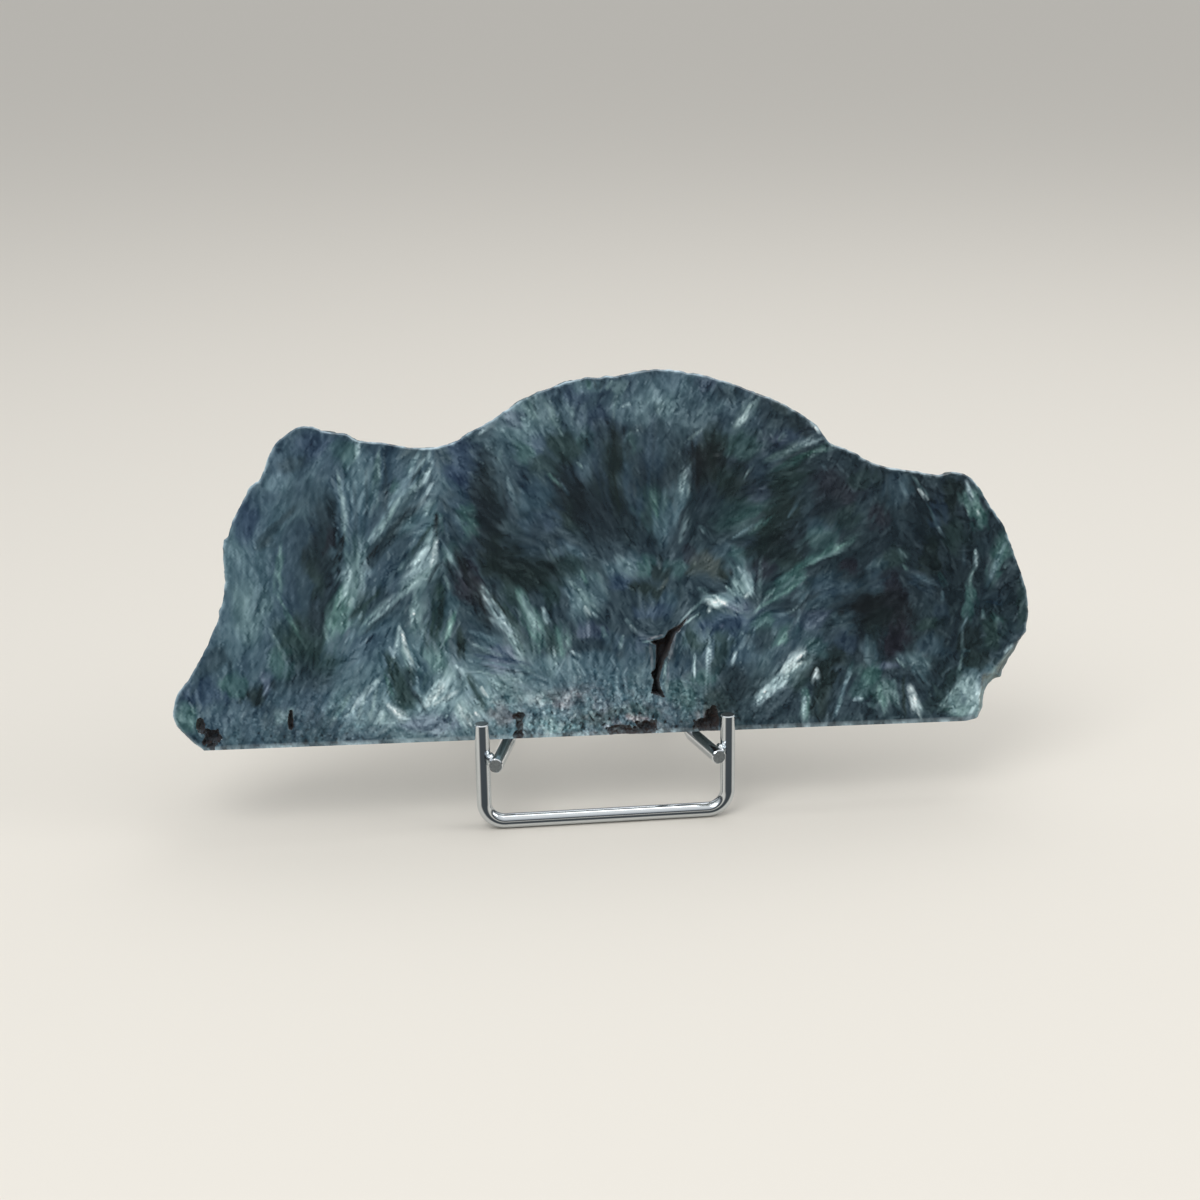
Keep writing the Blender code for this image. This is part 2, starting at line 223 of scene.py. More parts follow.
# middle x, y, reach x, reach y, tone, strength, and its lean in degrees where it leans;
# each lies over those before it
colourPools = [
    (-85, 45, 42, 60, "slate", 0.85), (5, 82, 60, 26, "slate", 0.8), (82, 42, 46, 36, "ink", 0.8),
    (-45, 12, 34, 16, "mist", 0.75), (-20, 8, 50, 12, "mist", 0.7), (8, 10, 22, 10, "haze", 0.7),
    (-20, 50, 16, 12, "slateDark", 0.6), (25, 63, 48, 16, "ink", 0.75), (9, 78, 12, 7, "slateDark", 0.6),
    (36, 24, 18, 10, "haze", 0.7), (58, 24, 8, 6, "slate", 0.6), (-46, 67, 8, 9, "mist", 0.7, -30),
    (-24, 5, 16, 7, "mist", 0.7), (104, 8, 10, 9, "mist", 0.75), (-99, 6, 11, 7, "haze", 0.6),
    (-56, 22, 12, 12, "haze", 0.6), (84, 20, 7, 12, "ink", 0.8), (62, 50, 24, 12, "ink", 0.55),
    (96, 42, 12, 16, "ink", 0.5), (-21, 84, 8, 8, "mist", 0.5), (24, 84, 10, 8, "haze", 0.5, -20),
    (-98, 54, 5, 9, "mist", 0.6), (-94, 40, 11, 24, "haze", 0.7, -10), (-92, 36, 6, 8, "silver", 0.4),
    (-80, 74, 12, 10, "slate", 0.9, 20), (-93, 60, 4, 6, "inkBlue", 0.8), (-73, 78, 6, 4.5, "inkBlue", 0.8),
    (-84, 70, 4, 3.5, "haze", 0.8), (-81, 74, 4, 2.5, "slateDark", 0.6), (-88, 65, 4, 4, "slate", 0.5, 30),
    (-84, 62, 5, 4, "haze", 0.5, 20), (-77, 56, 3.5, 8, "haze", 0.6, 5), (-70, 72, 3, 8, "slate", 0.7, -10),
    (-87, 54, 3, 2.4, "slateDark", 0.9), (-79, 50, 3.5, 13, "slate", 0.8),
    (-72, 50, 4.5, 17, "ink", 0.9, -3), (-73, 56, 3, 6, "slateDark", 0.5), (-74, 45, 2.5, 6, "bottle", 0.6),
    (-70, 54, 1.6, 4, "plum", 0.5), (-78, 27, 7, 9, "bottle", 0.85, 10), (-82, 38, 4, 8, "slate", 0.7, -12),
    (-74, 33, 3, 6, "ink", 0.75), (-78, 18, 7, 5, "slateDark", 0.7), (-84, 22, 3.5, 4, "fern", 0.7),
    (-91, 24, 5, 4, "slate", 0.6), (-103, 15, 6, 5, "inkBlue", 0.9, 30),
    (-101, 23, 4, 3, "slateDark", 0.6, 30), (-96, 17, 3, 3.5, "fern", 0.7),
    (-91.5, 14, 3, 3.5, "deepGreen", 0.75, -15), (-88.5, 17, 1.6, 4, "lilac", 0.55),
    (-86, 16, 1.6, 2.4, "ink", 0.6), (-80, 12, 9, 4, "slate", 0.55), (-84.5, 8, 2.6, 2, "silver", 0.5),
    (-109, 8, 4, 4, "paleFern", 0.6), (-100, 6, 5, 4, "slate", 0.6), (-62, 68, 5, 12, "haze", 0.85),
    (-66, 76, 4, 4, "fern", 0.5), (-64, 44, 4, 11, "silver", 0.65, -10),
    (-68, 34, 3.5, 8, "paleFern", 0.7, -15), (-62, 36, 2.5, 6, "bottle", 0.6, -30),
    (-57, 37, 3, 4, "slateDark", 0.7, -40), (-52, 70, 6, 7, "slate", 0.75),
    (-54, 66, 2, 5, "slateDark", 0.6, -20), (-52, 67, 2.4, 3, "fern", 0.6), (-60, 46, 3, 3, "mist", 0.6),
    (-56, 52, 2.4, 8, "slateDark", 0.85, -35), (-47, 64, 3, 8, "slateDark", 0.6, -30),
    (-36, 72, 4.5, 7, "inkBlue", 0.95), (-44, 55, 3, 6, "fern", 0.5), (-48, 44, 4, 5, "silver", 0.55, -40),
    (-37, 58, 3.5, 6, "slate", 0.7), (-34, 57, 2.4, 5, "fern", 0.8), (-38, 48, 3, 4, "fern", 0.6),
    (-28.5, 60, 3.5, 14, "ink", 0.95), (-28, 48, 3.6, 8, "deepGreen", 0.8), (-27, 75, 3.5, 7, "haze", 0.6),
    (-35, 42, 4, 8, "plum", 0.75, 15), (-31, 36, 3.5, 5, "night", 0.5, 20),
    (-22, 46, 8, 7, "deepGreen", 0.8), (-24, 38, 4, 5, "bottle", 0.7), (-48, 35, 3, 7, "silver", 0.5),
    (-40, 35, 2, 4, "mist", 0.5), (-58, 24, 7, 8, "haze", 0.6, 30), (-62, 27, 4, 5, "slate", 0.6),
    (-53, 15, 3.4, 7, "bottle", 0.85, 15), (-44, 21, 5, 4, "paleFern", 0.55), (-38, 17, 4, 4, "silver", 0.5),
    (-30, 26, 5, 3, "haze", 0.5, -10), (-27, 21, 6, 4, "lilac", 0.7, -15), (-25, 13, 6, 5, "silver", 0.6),
    (-27, 6, 4, 4, "pink", 0.6), (-10, 11, 7, 3, "pink", 0.5), (8, 3.6, 3.4, 1.3, "pink", 0.75),
    (26, 5.4, 2.4, 1.7, "pink", 0.75, 30), (31.4, 34.6, 3.4, 2.4, "frost", 0.4),
    (-2, 5, 6, 2, "bottle", 0.5), (8, 6, 7, 2, "bottle", 0.45), (21, 10, 5, 4, "fern", 0.5),
    (-17, 12, 6, 3, "silver", 0.5), (-14, 3, 7, 2, "silver", 0.6), (30, 7, 5, 4, "deepGreen", 0.6),
    (-46, 5, 8, 3, "lilac", 0.6), (-36, 7, 5, 4, "silver", 0.6), (-56, 7, 5, 3, "silver", 0.5),
    (-66, 10, 5, 6, "mist", 0.6), (-18, 80, 8, 7, "mist", 0.75, 30), (-14, 86, 4, 5, "silver", 0.4, 20),
    (-22, 83, 3.5, 3, "lilac", 0.5), (-8, 89, 5, 3, "slate", 0.6, 15), (-4, 90, 4, 3, "inkBlue", 0.6, 10),
    (-2, 92.5, 3, 2, "mist", 0.6), (5, 93, 2.5, 2, "silver", 0.6), (-7, 83, 2.5, 5, "haze", 0.6, 20),
    (0, 84, 4, 4, "inkBlue", 0.65), (1, 80, 3, 4, "slateDark", 0.6), (-3, 78, 2.5, 4, "fern", 0.5),
    (-8, 76, 5, 5, "bottle", 0.8), (-3, 70, 4, 6, "slate", 0.6), (4.5, 72, 3, 9, "deepGreen", 0.6),
    (14, 87, 10, 6, "haze", 0.85), (12, 92, 4, 3, "slate", 0.5), (17, 86, 5, 4, "mist", 0.6),
    (7.5, 87, 2.5, 4, "mist", 0.6), (9, 77, 2, 4, "fern", 0.5), (15, 76, 5, 6, "slate", 0.8),
    (-16, 76, 4, 3, "inkBlue", 0.6), (-20, 74, 4, 3, "fern", 0.55), (-14, 70, 5, 4, "bottle", 0.6, 20),
    (-17, 64, 6, 5, "slate", 0.8, 20), (-13, 57, 7, 4, "inkBlue", 0.55), (-17, 54, 5, 4, "slateDark", 0.7),
    (-20, 57, 3, 3, "slate", 0.5), (-6, 58, 4, 6, "bottle", 0.8), (0, 62, 6, 8, "ink", 0.9),
    (2, 55, 9, 6, "ink", 0.85), (8, 67, 3, 5, "slate", 0.6), (9.5, 61, 2.5, 4, "slate", 0.5),
    (14, 60, 4, 6, "fern", 0.4), (18, 56, 4, 6, "haze", 0.7), (20, 63, 3, 5, "haze", 0.6),
    (21, 91, 6, 4, "haze", 0.7), (27, 86, 5, 5, "slate", 0.6, -30), (31, 91, 3, 2.5, "lilac", 0.45, -10),
    (36, 88, 4, 3, "slateDark", 0.6, -20), (38, 83, 5, 5, "haze", 0.5),
    (48, 84, 8, 4, "slateDark", 0.85, -28), (49, 86, 4, 2, "umber", 0.3, -28),
    (54, 80.5, 4, 3, "ink", 0.8, -35), (50, 77, 4.5, 3, "inkBlue", 0.7, 10), (45, 75.5, 4, 3, "lilac", 0.5),
    (38, 76, 6, 4, "fern", 0.7), (44, 70, 6, 4, "slate", 0.7, 20), (31, 76, 4, 5, "bottle", 0.8, -10),
    (28.5, 71, 3.4, 6, "deepGreen", 0.95), (33, 67, 5, 5, "bottle", 0.8), (31, 61, 4, 5, "slateDark", 0.7),
    (37, 63, 4, 4, "deepGreen", 0.7), (42, 62, 4, 3, "lilac", 0.5), (38, 56, 7, 5, "fern", 0.4, 20),
    (51, 66, 6, 5, "bottle", 0.8, 10), (49, 58, 6, 6, "deepGreen", 0.85, 30),
    (55, 60, 4, 5, "slateDark", 0.6), (62, 68, 5, 5, "slateDark", 0.8), (64, 62, 8, 7, "plum", 0.55, -10),
    (62, 58, 5, 4, "ink", 0.6), (59, 54, 4, 3, "slate", 0.6), (66, 56, 6, 4, "bottle", 0.7),
    (-8, 48, 5, 3, "slate", 0.6, -20), (-17, 48, 4, 4, "slate", 0.5), (-18, 43, 9, 6, "deepGreen", 0.8),
    (-13, 37, 3, 4, "bottle", 0.7), (-8, 44, 4, 5, "bottle", 0.6, -15), (6, 44, 6, 4.5, "mist", 0.7),
    (6, 40, 5, 2.5, "inkBlue", 0.7), (12, 45, 3, 3, "fern", 0.6), (16, 44, 2, 3, "deepGreen", 0.7),
    (12.5, 38.5, 4, 3.5, "deepGreen", 0.9, 20), (20, 44, 3, 3, "fern", 0.6), (-4, 38, 7, 5, "mist", 0.55),
    (-6, 33, 3, 5, "mist", 0.5), (3, 33, 3, 3, "slateDark", 0.8), (17, 36, 4, 4, "slate", 0.7),
    (14, 32, 5, 3, "inkBlue", 0.7), (11, 28, 4, 3, "slateDark", 0.8), (-3, 28, 5, 3, "lilac", 0.6),
    (3, 25, 5, 3.5, "slate", 0.6), (-4, 24, 4, 2, "slateDark", 0.6), (0, 18.5, 9, 3.5, "haze", 0.7),
    (9, 20, 3.5, 5, "slate", 0.8), (10, 24, 2.4, 3, "lilac", 0.3), (-13, 23, 2, 6, "bottle", 0.6),
    (-21, 23, 4, 4, "silver", 0.5, -20), (-10, 24, 2, 5, "paleFern", 0.5), (-12, 18, 7, 4, "mist", 0.6),
    (27, 45, 4.5, 3.5, "umber", 0.75), (31, 44, 3, 3, "umber", 0.7), (23, 47, 3, 3, "plum", 0.4),
    (34, 47, 3, 3, "haze", 0.5, 20), (37, 46, 2.5, 3, "fern", 0.6), (44, 50, 5, 7, "deepGreen", 0.95, -30),
    (44, 43, 4, 3, "plum", 0.5), (50, 45, 5, 5, "bottle", 0.8), (47, 37, 5, 3, "slateDark", 0.6),
    (51, 38, 6, 3, "fern", 0.8, 30), (59, 50, 5, 4, "fern", 0.5, 20), (38, 40, 4, 5, "mist", 0.7),
    (36, 33, 5, 3, "lilac", 0.7), (32, 28, 7, 3, "inkBlue", 0.85), (43, 28, 4, 3, "fern", 0.6),
    (49, 28.5, 4, 3, "slate", 0.7), (57, 28, 4.5, 3.5, "lilac", 0.5), (61, 25, 2.5, 3, "slateDark", 0.8),
    (43, 24, 4, 3.5, "ink", 0.6), (24, 25, 3, 4, "bottle", 0.75), (31, 20, 2.5, 6, "bottle", 0.7),
    (37, 20, 3, 4, "slate", 0.6), (36, 12, 6, 5, "ink", 0.8), (21, 17, 3, 4, "slate", 0.6, -20),
    (27, 14, 4, 3, "fern", 0.6), (60, 38, 4, 4, "slate", 0.7), (60, 33, 4, 3, "haze", 0.5),
    (54, 35, 2, 3, "mist", 0.4), (48, 24, 4, 2, "fern", 0.7, 40), (52, 14, 5, 4, "bottle", 0.8, 40),
    (59, 11, 4, 8, "deepGreen", 0.85), (57, 21, 3, 3, "fern", 0.5), (63, 19, 4, 3, "deepGreen", 0.7),
    (66, 23, 4, 3, "inkBlue", 0.5), (65, 27, 3, 2.5, "mist", 0.35), (72, 57, 4, 6, "slateDark", 0.7),
    (74, 55, 3, 4, "plum", 0.6), (79, 62, 4, 5, "slate", 0.6), (82, 62, 1.6, 4, "haze", 0.4, -10),
    (81, 53, 3, 5, "slateDark", 0.6), (71, 66, 4, 3, "bottle", 0.7), (77, 43, 5, 3, "bottle", 0.8),
    (73, 42, 3, 3, "haze", 0.45), (66, 43, 3, 3, "plum", 0.7), (65, 37, 4, 3, "slate", 0.6),
    (73, 37, 5, 3, "slate", 0.4), (71, 31, 5, 4, "night", 0.95), (78, 34, 4, 7, "plum", 0.7),
    (80, 25, 4, 7, "plum", 0.8), (74, 27, 4, 3, "bottle", 0.6), (87, 38, 4, 2.5, "slate", 0.6, -15),
    (88, 33, 3.5, 5, "slateDark", 0.7), (92, 30, 3, 5, "inkBlue", 0.35), (88, 27, 4, 2.4, "bottle", 0.7),
    (88, 20, 5, 4, "slate", 0.6), (88, 15, 4, 3, "ink", 0.7), (89, 54, 2.5, 10, "ink", 0.8, 8),
    (92, 55, 2, 5, "inkBlue", 0.6), (96, 60, 3.4, 6, "deepGreen", 0.85, -8), (97, 50, 4, 5, "bottle", 0.7),
    (89, 43, 3, 5, "deepGreen", 0.8), (96, 37, 2.4, 8, "ink", 0.8), (93, 25, 3, 4, "ink", 0.7),
    (102, 58, 2.5, 6, "paleFern", 0.8, 18), (103, 53, 2, 3, "fern", 0.8),
    (104, 46, 2.5, 3, "slateDark", 0.6), (108, 43, 3, 7, "fern", 0.8, -20), (111, 34, 2.4, 9, "ink", 0.9, 8),
    (113.5, 30, 1.6, 7, "bottle", 0.6), (105, 33, 4, 2.5, "slateDark", 0.7), (100, 34, 1.6, 6, "fern", 0.75),
    (105, 24, 4, 6, "bottle", 0.9), (99, 22, 2.6, 6, "deepGreen", 0.7), (102, 16, 4, 3, "deepGreen", 0.7),
    (110, 24, 3, 4, "slateDark", 0.6), (71, 14, 5, 4, "fern", 0.9), (69, 10, 4, 4, "fern", 0.6),
    (72.5, 20, 2, 4, "haze", 0.5), (77, 15.5, 3, 2, "lilac", 0.6), (75, 8, 4, 4, "paleFern", 0.5),
    (84, 16, 4, 3, "mist", 0.6, -35), (88, 9, 3, 4, "slateDark", 0.6), (93, 12, 4, 2.5, "bottle", 0.6, 20),
    (98, 8, 4.5, 4, "silver", 0.8, 25), (90, 4, 5, 2.5, "bottle", 0.5, 10), (97, 3, 4, 2, "paleFern", 0.7),
    (99, 6, 5, 6, "silver", 0.75, 35), (92, 8, 3, 3, "bottle", 0.5), (-30, 62, 4, 14, "ink", 0.6),
    (-7, 62, 5, 9, "night", 0.5), (30, 72, 4, 6, "night", 0.5), (50, 48, 6, 6, "night", 0.5, -30),
    (76, 30, 9, 6, "night", 0.6), (31, 34.6, 3.4, 2.8, "frost", 0.8, 20), (38, 40.5, 3.6, 5, "silver", 0.65),
    (35, 35, 4, 3, "mist", 0.6), (-46, 47, 4, 5, "silver", 0.5, -40), (-47, 58, 4, 5, "mist", 0.5, -40),
]

# for each tone, from x, y to x, y, width, strength; a plume starts as a point and widens
plumes = {
    "slate": [
        (-71, 30, -74, 20, 2, 0.5), (-42.6, 72, -33, 62, 2, 0.6), (7.6, 62, 7.4, 80, 2, 0.5),
        (13, 62, 14, 80, 2, 0.5), (10.4, 55, 11, 66, 1.8, 0.5), (96.4, 8.4, 98, 4.4, 1.6, 0.5),
        (103.6, 32, 108.6, 31, 1, 0.6),
    ],
    "haze": [
        (-67.5, 80, -78, 66, 3, 0.55), (-64, 22, -70, 15, 2, 0.5), (-49.6, 27.5, -47, 18, 2, 0.6),
        (-9.6, 67, -8, 63.6, 1.4, 0.5), (50, 56, 53, 60, 1.4, 0.5), (-8.6, 50.6, -3.6, 46.6, 2.2, 0.6),
    ],
    "fern": [
        (-57.4, 18.5, -55.6, 11.5, 1.4, 0.7), (46, 68.4, 56, 72.4, 2.4, 0.8), (34, 55, 48, 61, 4, 0.4),
        (40, 52, 46, 57, 2, 0.6), (46, 38, 60, 47, 3, 0.8), (91, 40.4, 93.4, 36.4, 1.8, 0.7),
        (98.6, 37, 99.6, 28, 1.2, 0.6), (105.4, 29, 108, 26, 2, 0.7), (107.4, 43, 111, 47, 3.6, 0.7),
        (12, 47, 13, 42, 1.8, 0.5),
    ],
    "lilac": [
        (32.6, 28.4, 31.6, 27.4, 1.2, 0.7),
    ],
    "pink": [
        (30.6, 73.2, 33, 73, 0.9, 0.5), (19.6, 25.8, 17.6, 18.6, 1.2, 0.6),
        (12.8, 24.2, 13.2, 16, 1.2, 0.4), (17.6, 18, 16.8, 11.6, 1, 0.3), (16.6, 26, 12, 25, 1, 0.5),
    ],
    "umber": [
        (18, 41, 16, 38, 1.6, 0.5),
    ],
    "mist": [
        (-77, 62, -75, 50, 1.6, 0.35), (-77.5, 62, -84, 56, 1.4, 0.4), (-46, 76.5, -61, 51, 2.4, 0.8),
        (-44.5, 74.5, -54, 61, 2.4, 0.6), (-62, 36, -68, 24, 2.4, 0.5), (-60, 34, -66, 26, 2, 0.6),
        (-43.5, 61, -52, 55, 2.2, 0.65), (-43.2, 59, -51, 50, 2, 0.6), (-37.6, 60.5, -36, 57, 2.2, 0.55),
        (-42, 53, -36, 42, 2.2, 0.65), (-45.5, 33, -48, 24, 2, 0.6), (-35, 29, -27.5, 25.5, 1.8, 0.6),
        (-34, 21, -20, 18.4, 1.2, 0.7), (-5.5, 84, -8, 89, 2, 0.5), (-23.8, 69, -21.6, 60, 1.8, 0.5),
        (8.8, 82, 7, 76, 1.2, 0.4), (12, 84, 11, 88, 2, 0.4), (19, 84, 20, 90, 2, 0.4),
        (17.6, 52, 18, 58, 2.4, 0.5), (20, 55, 24.3, 72, 3.4, 0.6), (24, 75.4, 26.4, 79, 0.9, 0.5),
        (27, 83, 30.5, 88.5, 1.4, 0.5), (32, 84, 34.6, 88, 2.4, 0.5), (35.4, 51, 42, 54.6, 2, 0.5),
        (60, 70, 61.4, 68, 1.4, 0.4), (52.8, 33.4, 57, 38.4, 1.6, 0.5), (52.6, 32, 52.2, 25, 1.2, 0.5),
        (44.6, 30.4, 50, 30.6, 1, 0.4), (21.6, 27, 22.4, 22, 1.8, 0.5), (21, 13.6, 25, 12.6, 0.9, 0.5),
        (61.8, 2.4, 66.4, 16, 1.8, 0.7), (70.8, 24.4, 71.2, 18.6, 1.6, 0.5), (83, 15.4, 87.6, 9.4, 2, 0.6),
        (95, 2, 93, 8, 2, 0.6), (88, 58.8, 92, 50.6, 1.2, 0.5), (81, 65, 82.6, 61, 1.8, 0.5),
        (84.6, 40, 90, 37, 1.8, 0.5), (92, 35.6, 91.8, 32.6, 1.3, 0.6), (98, 47, 98, 42, 1.2, 0.4),
        (98.8, 28, 96.4, 23.6, 1.8, 0.6), (97, 19.2, 99.2, 18.8, 1, 0.5), (97.6, 14.2, 101, 13.6, 1, 0.5),
        (104, 36, 110.4, 49, 2.2, 0.6), (-9.6, 39.6, -7.4, 35.6, 1.2, 0.5),
        (-11.6, 50, -10.4, 47, 0.8, 0.4),
    ],
    "paleFern": [
        (-83, 53, -84.5, 38, 2.6, 0.55), (-84.5, 40, -79, 29, 1.4, 0.5), (-67, 42, -72, 27, 3.6, 0.7),
        (-38.2, 34, -42, 25, 2.6, 0.75), (-21.8, 39.5, -15.8, 24.5, 5.6, 0.85),
        (-19, 30, -17, 22, 2.4, 0.6), (-12.4, 29.5, -10.6, 20, 2.4, 0.65),
        (-13, 69.5, -9.4, 65.8, 1.4, 0.6), (-1.6, 91, -2.2, 93.6, 1.8, 0.5), (15.6, 57, 13.8, 66, 2.4, 0.6),
        (52, 71.6, 64, 75.2, 2.6, 0.7), (41, 31.4, 55, 40, 1.4, 0.6), (56, 43.6, 68.6, 50.6, 2.6, 0.8),
        (47, 22, 49.8, 25.4, 1.6, 0.6), (53.8, 10.6, 54, 0.6, 3.4, 0.85), (74, 11, 76, 2.4, 2.6, 0.6),
        (81, 42.6, 82.6, 41, 1.4, 0.5), (100.4, 62, 103.4, 54, 2.6, 0.8), (-5, 44, -3.6, 40, 1.4, 0.5),
        (0.2, 29, 1, 25.4, 1.6, 0.5),
    ],
    "silver": [
        (-86.5, 31.5, -82, 21, 1.6, 0.5), (-68, 71, -65.8, 54, 2.4, 0.8), (-57, 77, -58.8, 61, 2.8, 0.8),
        (-52, 64, -60.5, 51.5, 2.2, 0.75), (-63, 50, -64, 38, 4, 0.6), (-72.4, 32, -71.6, 27, 1, 0.6),
        (-48, 43, -63, 30, 3.4, 0.75), (-61.5, 15.5, -65, 6, 1.6, 0.7), (-59.5, 15, -61.5, 5, 1.4, 0.7),
        (-66, 14, -72, 6, 1.8, 0.6), (-43.2, 72, -50, 64.5, 2, 0.7), (-42.8, 63.5, -46, 59.5, 2.4, 0.75),
        (-43.5, 46, -52, 39, 3.2, 0.7), (-41.5, 51, -38.5, 46.5, 1.8, 0.6),
        (-41, 44, -39.6, 39.5, 1.6, 0.6), (-49, 39, -48, 28, 3.6, 0.7), (-52.8, 27, -51.4, 20, 1.6, 0.7),
        (-47.5, 14, -46, 19, 1.4, 0.5), (-32.2, 41, -22.6, 25.5, 5, 0.9), (-24.5, 28, -20, 20, 3.6, 0.7),
        (-21, 38, -17.4, 28, 3, 0.8), (-35, 25.5, -24, 21, 1.4, 0.5), (-33, 18, -20, 14.6, 1.4, 0.6),
        (-22.4, 20, -18, 17, 1.4, 0.6), (-9.5, 79, -13.4, 90, 2.6, 0.75), (-16, 84, -18.6, 88.6, 3, 0.5),
        (-6.5, 82, -5.8, 88, 1.2, 0.4), (-25.6, 76, -26, 72, 1.6, 0.45), (-5.2, 72.4, -3.8, 70.6, 1, 0.6),
        (4.4, 83, 5.6, 91, 1.6, 0.5), (3, 91, 4.4, 94, 1.8, 0.6), (16, 84, 17, 88, 2.4, 0.5),
        (17.4, 58, 18.4, 66, 1.8, 0.5), (21.5, 50, 24, 58, 2.4, 0.5), (24, 77, 29.6, 81, 1, 0.5),
        (36.4, 80, 42.4, 88, 3.8, 0.75), (43.6, 79.6, 44, 77, 1.4, 0.5), (48, 76.4, 50.4, 78.6, 2.2, 0.55),
        (44, 71, 60, 77.6, 3.4, 0.7), (56, 71.4, 62, 74.6, 1.2, 0.5), (38.6, 66.4, 41.4, 70.6, 0.8, 0.5),
        (26.4, 54.6, 28.6, 52.6, 1.4, 0.6), (46.6, 37.5, 41, 31, 1.2, 0.7), (52, 40.6, 44, 33, 1.4, 0.5),
        (57, 44, 66, 47.6, 1.2, 0.6), (49, 30.6, 53.2, 32.4, 1.4, 0.6), (43, 46, 42, 34, 1.8, 0.45),
        (33, 38.6, 36, 35.6, 2.4, 0.7), (25.8, 38.4, 28.4, 36.4, 2.4, 0.5), (28, 36, 20.2, 28.4, 0.9, 0.65),
        (26.2, 31.6, 20.8, 27.6, 0.9, 0.6), (36, 33.4, 38.4, 31.8, 1.4, 0.5), (17, 19, 16, 13.6, 1, 0.7),
        (16.4, 17, 17, 10, 1.4, 0.5), (10.6, 24.4, 14.2, 24.2, 0.9, 0.6), (63, 5.4, 63.6, 8.4, 1.2, 0.7),
        (70.6, 5.6, 74, 4.6, 1.6, 0.5), (78, 12, 79.4, 4.6, 2.2, 0.7), (78.6, 17.8, 82, 14.6, 1.8, 0.6),
        (90.6, 3.4, 100.6, 12.6, 3.4, 0.5), (91, 4.6, 97.4, 11.4, 1, 0.6), (93, 2, 102, 11, 6, 0.6),
        (106, 13, 111.6, 20, 1.8, 0.6), (104.8, 11, 106.4, 14.8, 1.6, 0.7),
        (84.4, 66.6, 89.2, 59.6, 1.2, 0.6), (80, 47, 82.4, 44, 2, 0.55), (100.8, 41.6, 98.8, 36, 1.4, 0.6),
        (97.4, 24.4, 96.8, 18, 1.3, 0.6), (97, 18.6, 95.6, 10.4, 1.2, 0.55),
        (102.8, 30, 103, 27.8, 1.4, 0.65), (109, 41, 110.4, 42.6, 1.6, 0.5), (-9, 42, -1, 33, 3.4, 0.7),
        (-1, 43, 2, 36, 2.2, 0.4), (4, 48, 9, 42, 3, 0.55), (-13.4, 49.6, -11.6, 45.6, 0.9, 0.55),
        (6.4, 30.6, 9, 27, 1.4, 0.6), (5.8, 26.6, 4.8, 22.4, 1.5, 0.7),
    ],
    "inkBlue": [
        (-34, 22.6, -21.5, 20.2, 1, 0.7), (-28, 25, -24.4, 20.5, 2, 0.6), (3, 60, -4, 90, 5, 0.3),
    ],
    "slateDark": [
        (-79, 62.5, -87.5, 54.5, 2.6, 0.8), (-64, 68, -63.5, 52, 1.6, 0.4),
        (-55.5, 74, -55.5, 58, 1.6, 0.6), (-60.5, 72, -61, 56, 1.2, 0.45), (-52, 38, -62, 29, 1.8, 0.7),
        (-41.8, 64, -34, 56, 2, 0.6), (-40.5, 59, -36.5, 51, 2.6, 0.7), (-41.6, 44.5, -43.2, 39, 1.6, 0.7),
        (-52, 19, -50, 11, 2.6, 0.6), (-38, 19.5, -37.4, 16, 1.2, 0.5), (-32, 19.6, -19, 16.8, 0.9, 0.6),
        (-15.4, 85, -17, 89, 0.9, 0.5), (-0.4, 93.8, 0.4, 91, 1, 0.7), (1.2, 91, 2.4, 93.6, 1.4, 0.7),
        (15, 70, 15.4, 82, 1, 0.4), (36, 62, 50, 70, 2.4, 0.5), (22, 22, 20.6, 15, 1.6, 0.5),
        (103, 12.4, 102.6, 8, 1.2, 0.5), (3.4, 26.6, 1.6, 22, 1.4, 0.5),
    ],
    "bottle": [
        (-58, 40, -66, 33, 2.2, 0.7), (-44, 56.5, -50, 49, 1.4, 0.6), (-42, 42, -45.2, 24, 4.6, 0.95),
        (-51.4, 25.5, -49.8, 20, 0.9, 0.6), (-56.6, 24, -52, 10, 5, 0.9),
        (-35.6, 17.6, -31.2, 8.4, 2.6, 0.8), (-26, 36, -19.5, 22, 3.4, 0.75), (-15, 31, -13, 22, 2.2, 0.6),
        (46, 10, 52.6, 16, 1.6, 0.5),
    ],
    "deepGreen": [
        (-41.5, 38, -43.5, 28, 1.8, 0.5), (-37.4, 30, -37.6, 22, 3.2, 0.85),
        (-28.5, 38, -22.5, 29.5, 1.4, 0.8), (5, 58, 4.6, 80, 4, 0.8), (30.5, 66, 30.6, 78, 3, 0.7),
        (80.9, 13, 81, 1.4, 1.6, 0.95),
    ],
    "ink": [
        (-45, 73.5, -50, 67, 1, 0.6), (-49, 62, -61, 47, 2.8, 0.85), (-44, 65, -52, 57, 1.8, 0.6),
        (-41.8, 47, -45.5, 41.5, 1.6, 0.8), (-41.2, 47, -36.5, 40, 1.6, 0.75), (-50, 14, -47, 8.5, 2, 0.55),
        (-25.6, 68, -23.6, 58, 1.2, 0.6),
    ],
    "plum": [
        (-34, 44, -28, 33, 2.6, 0.5),
    ],
    "night": [
        (-58, 52, -60.5, 48, 1.4, 0.7), (-66.5, 55, -70, 46, 1.8, 0.6), (-42.4, 60, -43.2, 53, 1.8, 0.75),
        (-38, 50, -29, 31, 4.4, 0.75), (26.4, 64, 26.4, 78, 3.2, 0.75), (107.2, 12.6, 109, 14.4, 1.4, 0.7),
    ],
    "frost": [
        (-67, 65, -66, 56.5, 1.6, 0.6), (-62.2, 80, -62.6, 74.5, 1.6, 0.6),
        (-65.5, 46, -67.5, 36, 2.6, 0.55), (-58, 18, -68, 7.5, 2.2, 0.8), (-43.6, 77, -44, 73, 1.6, 0.5),
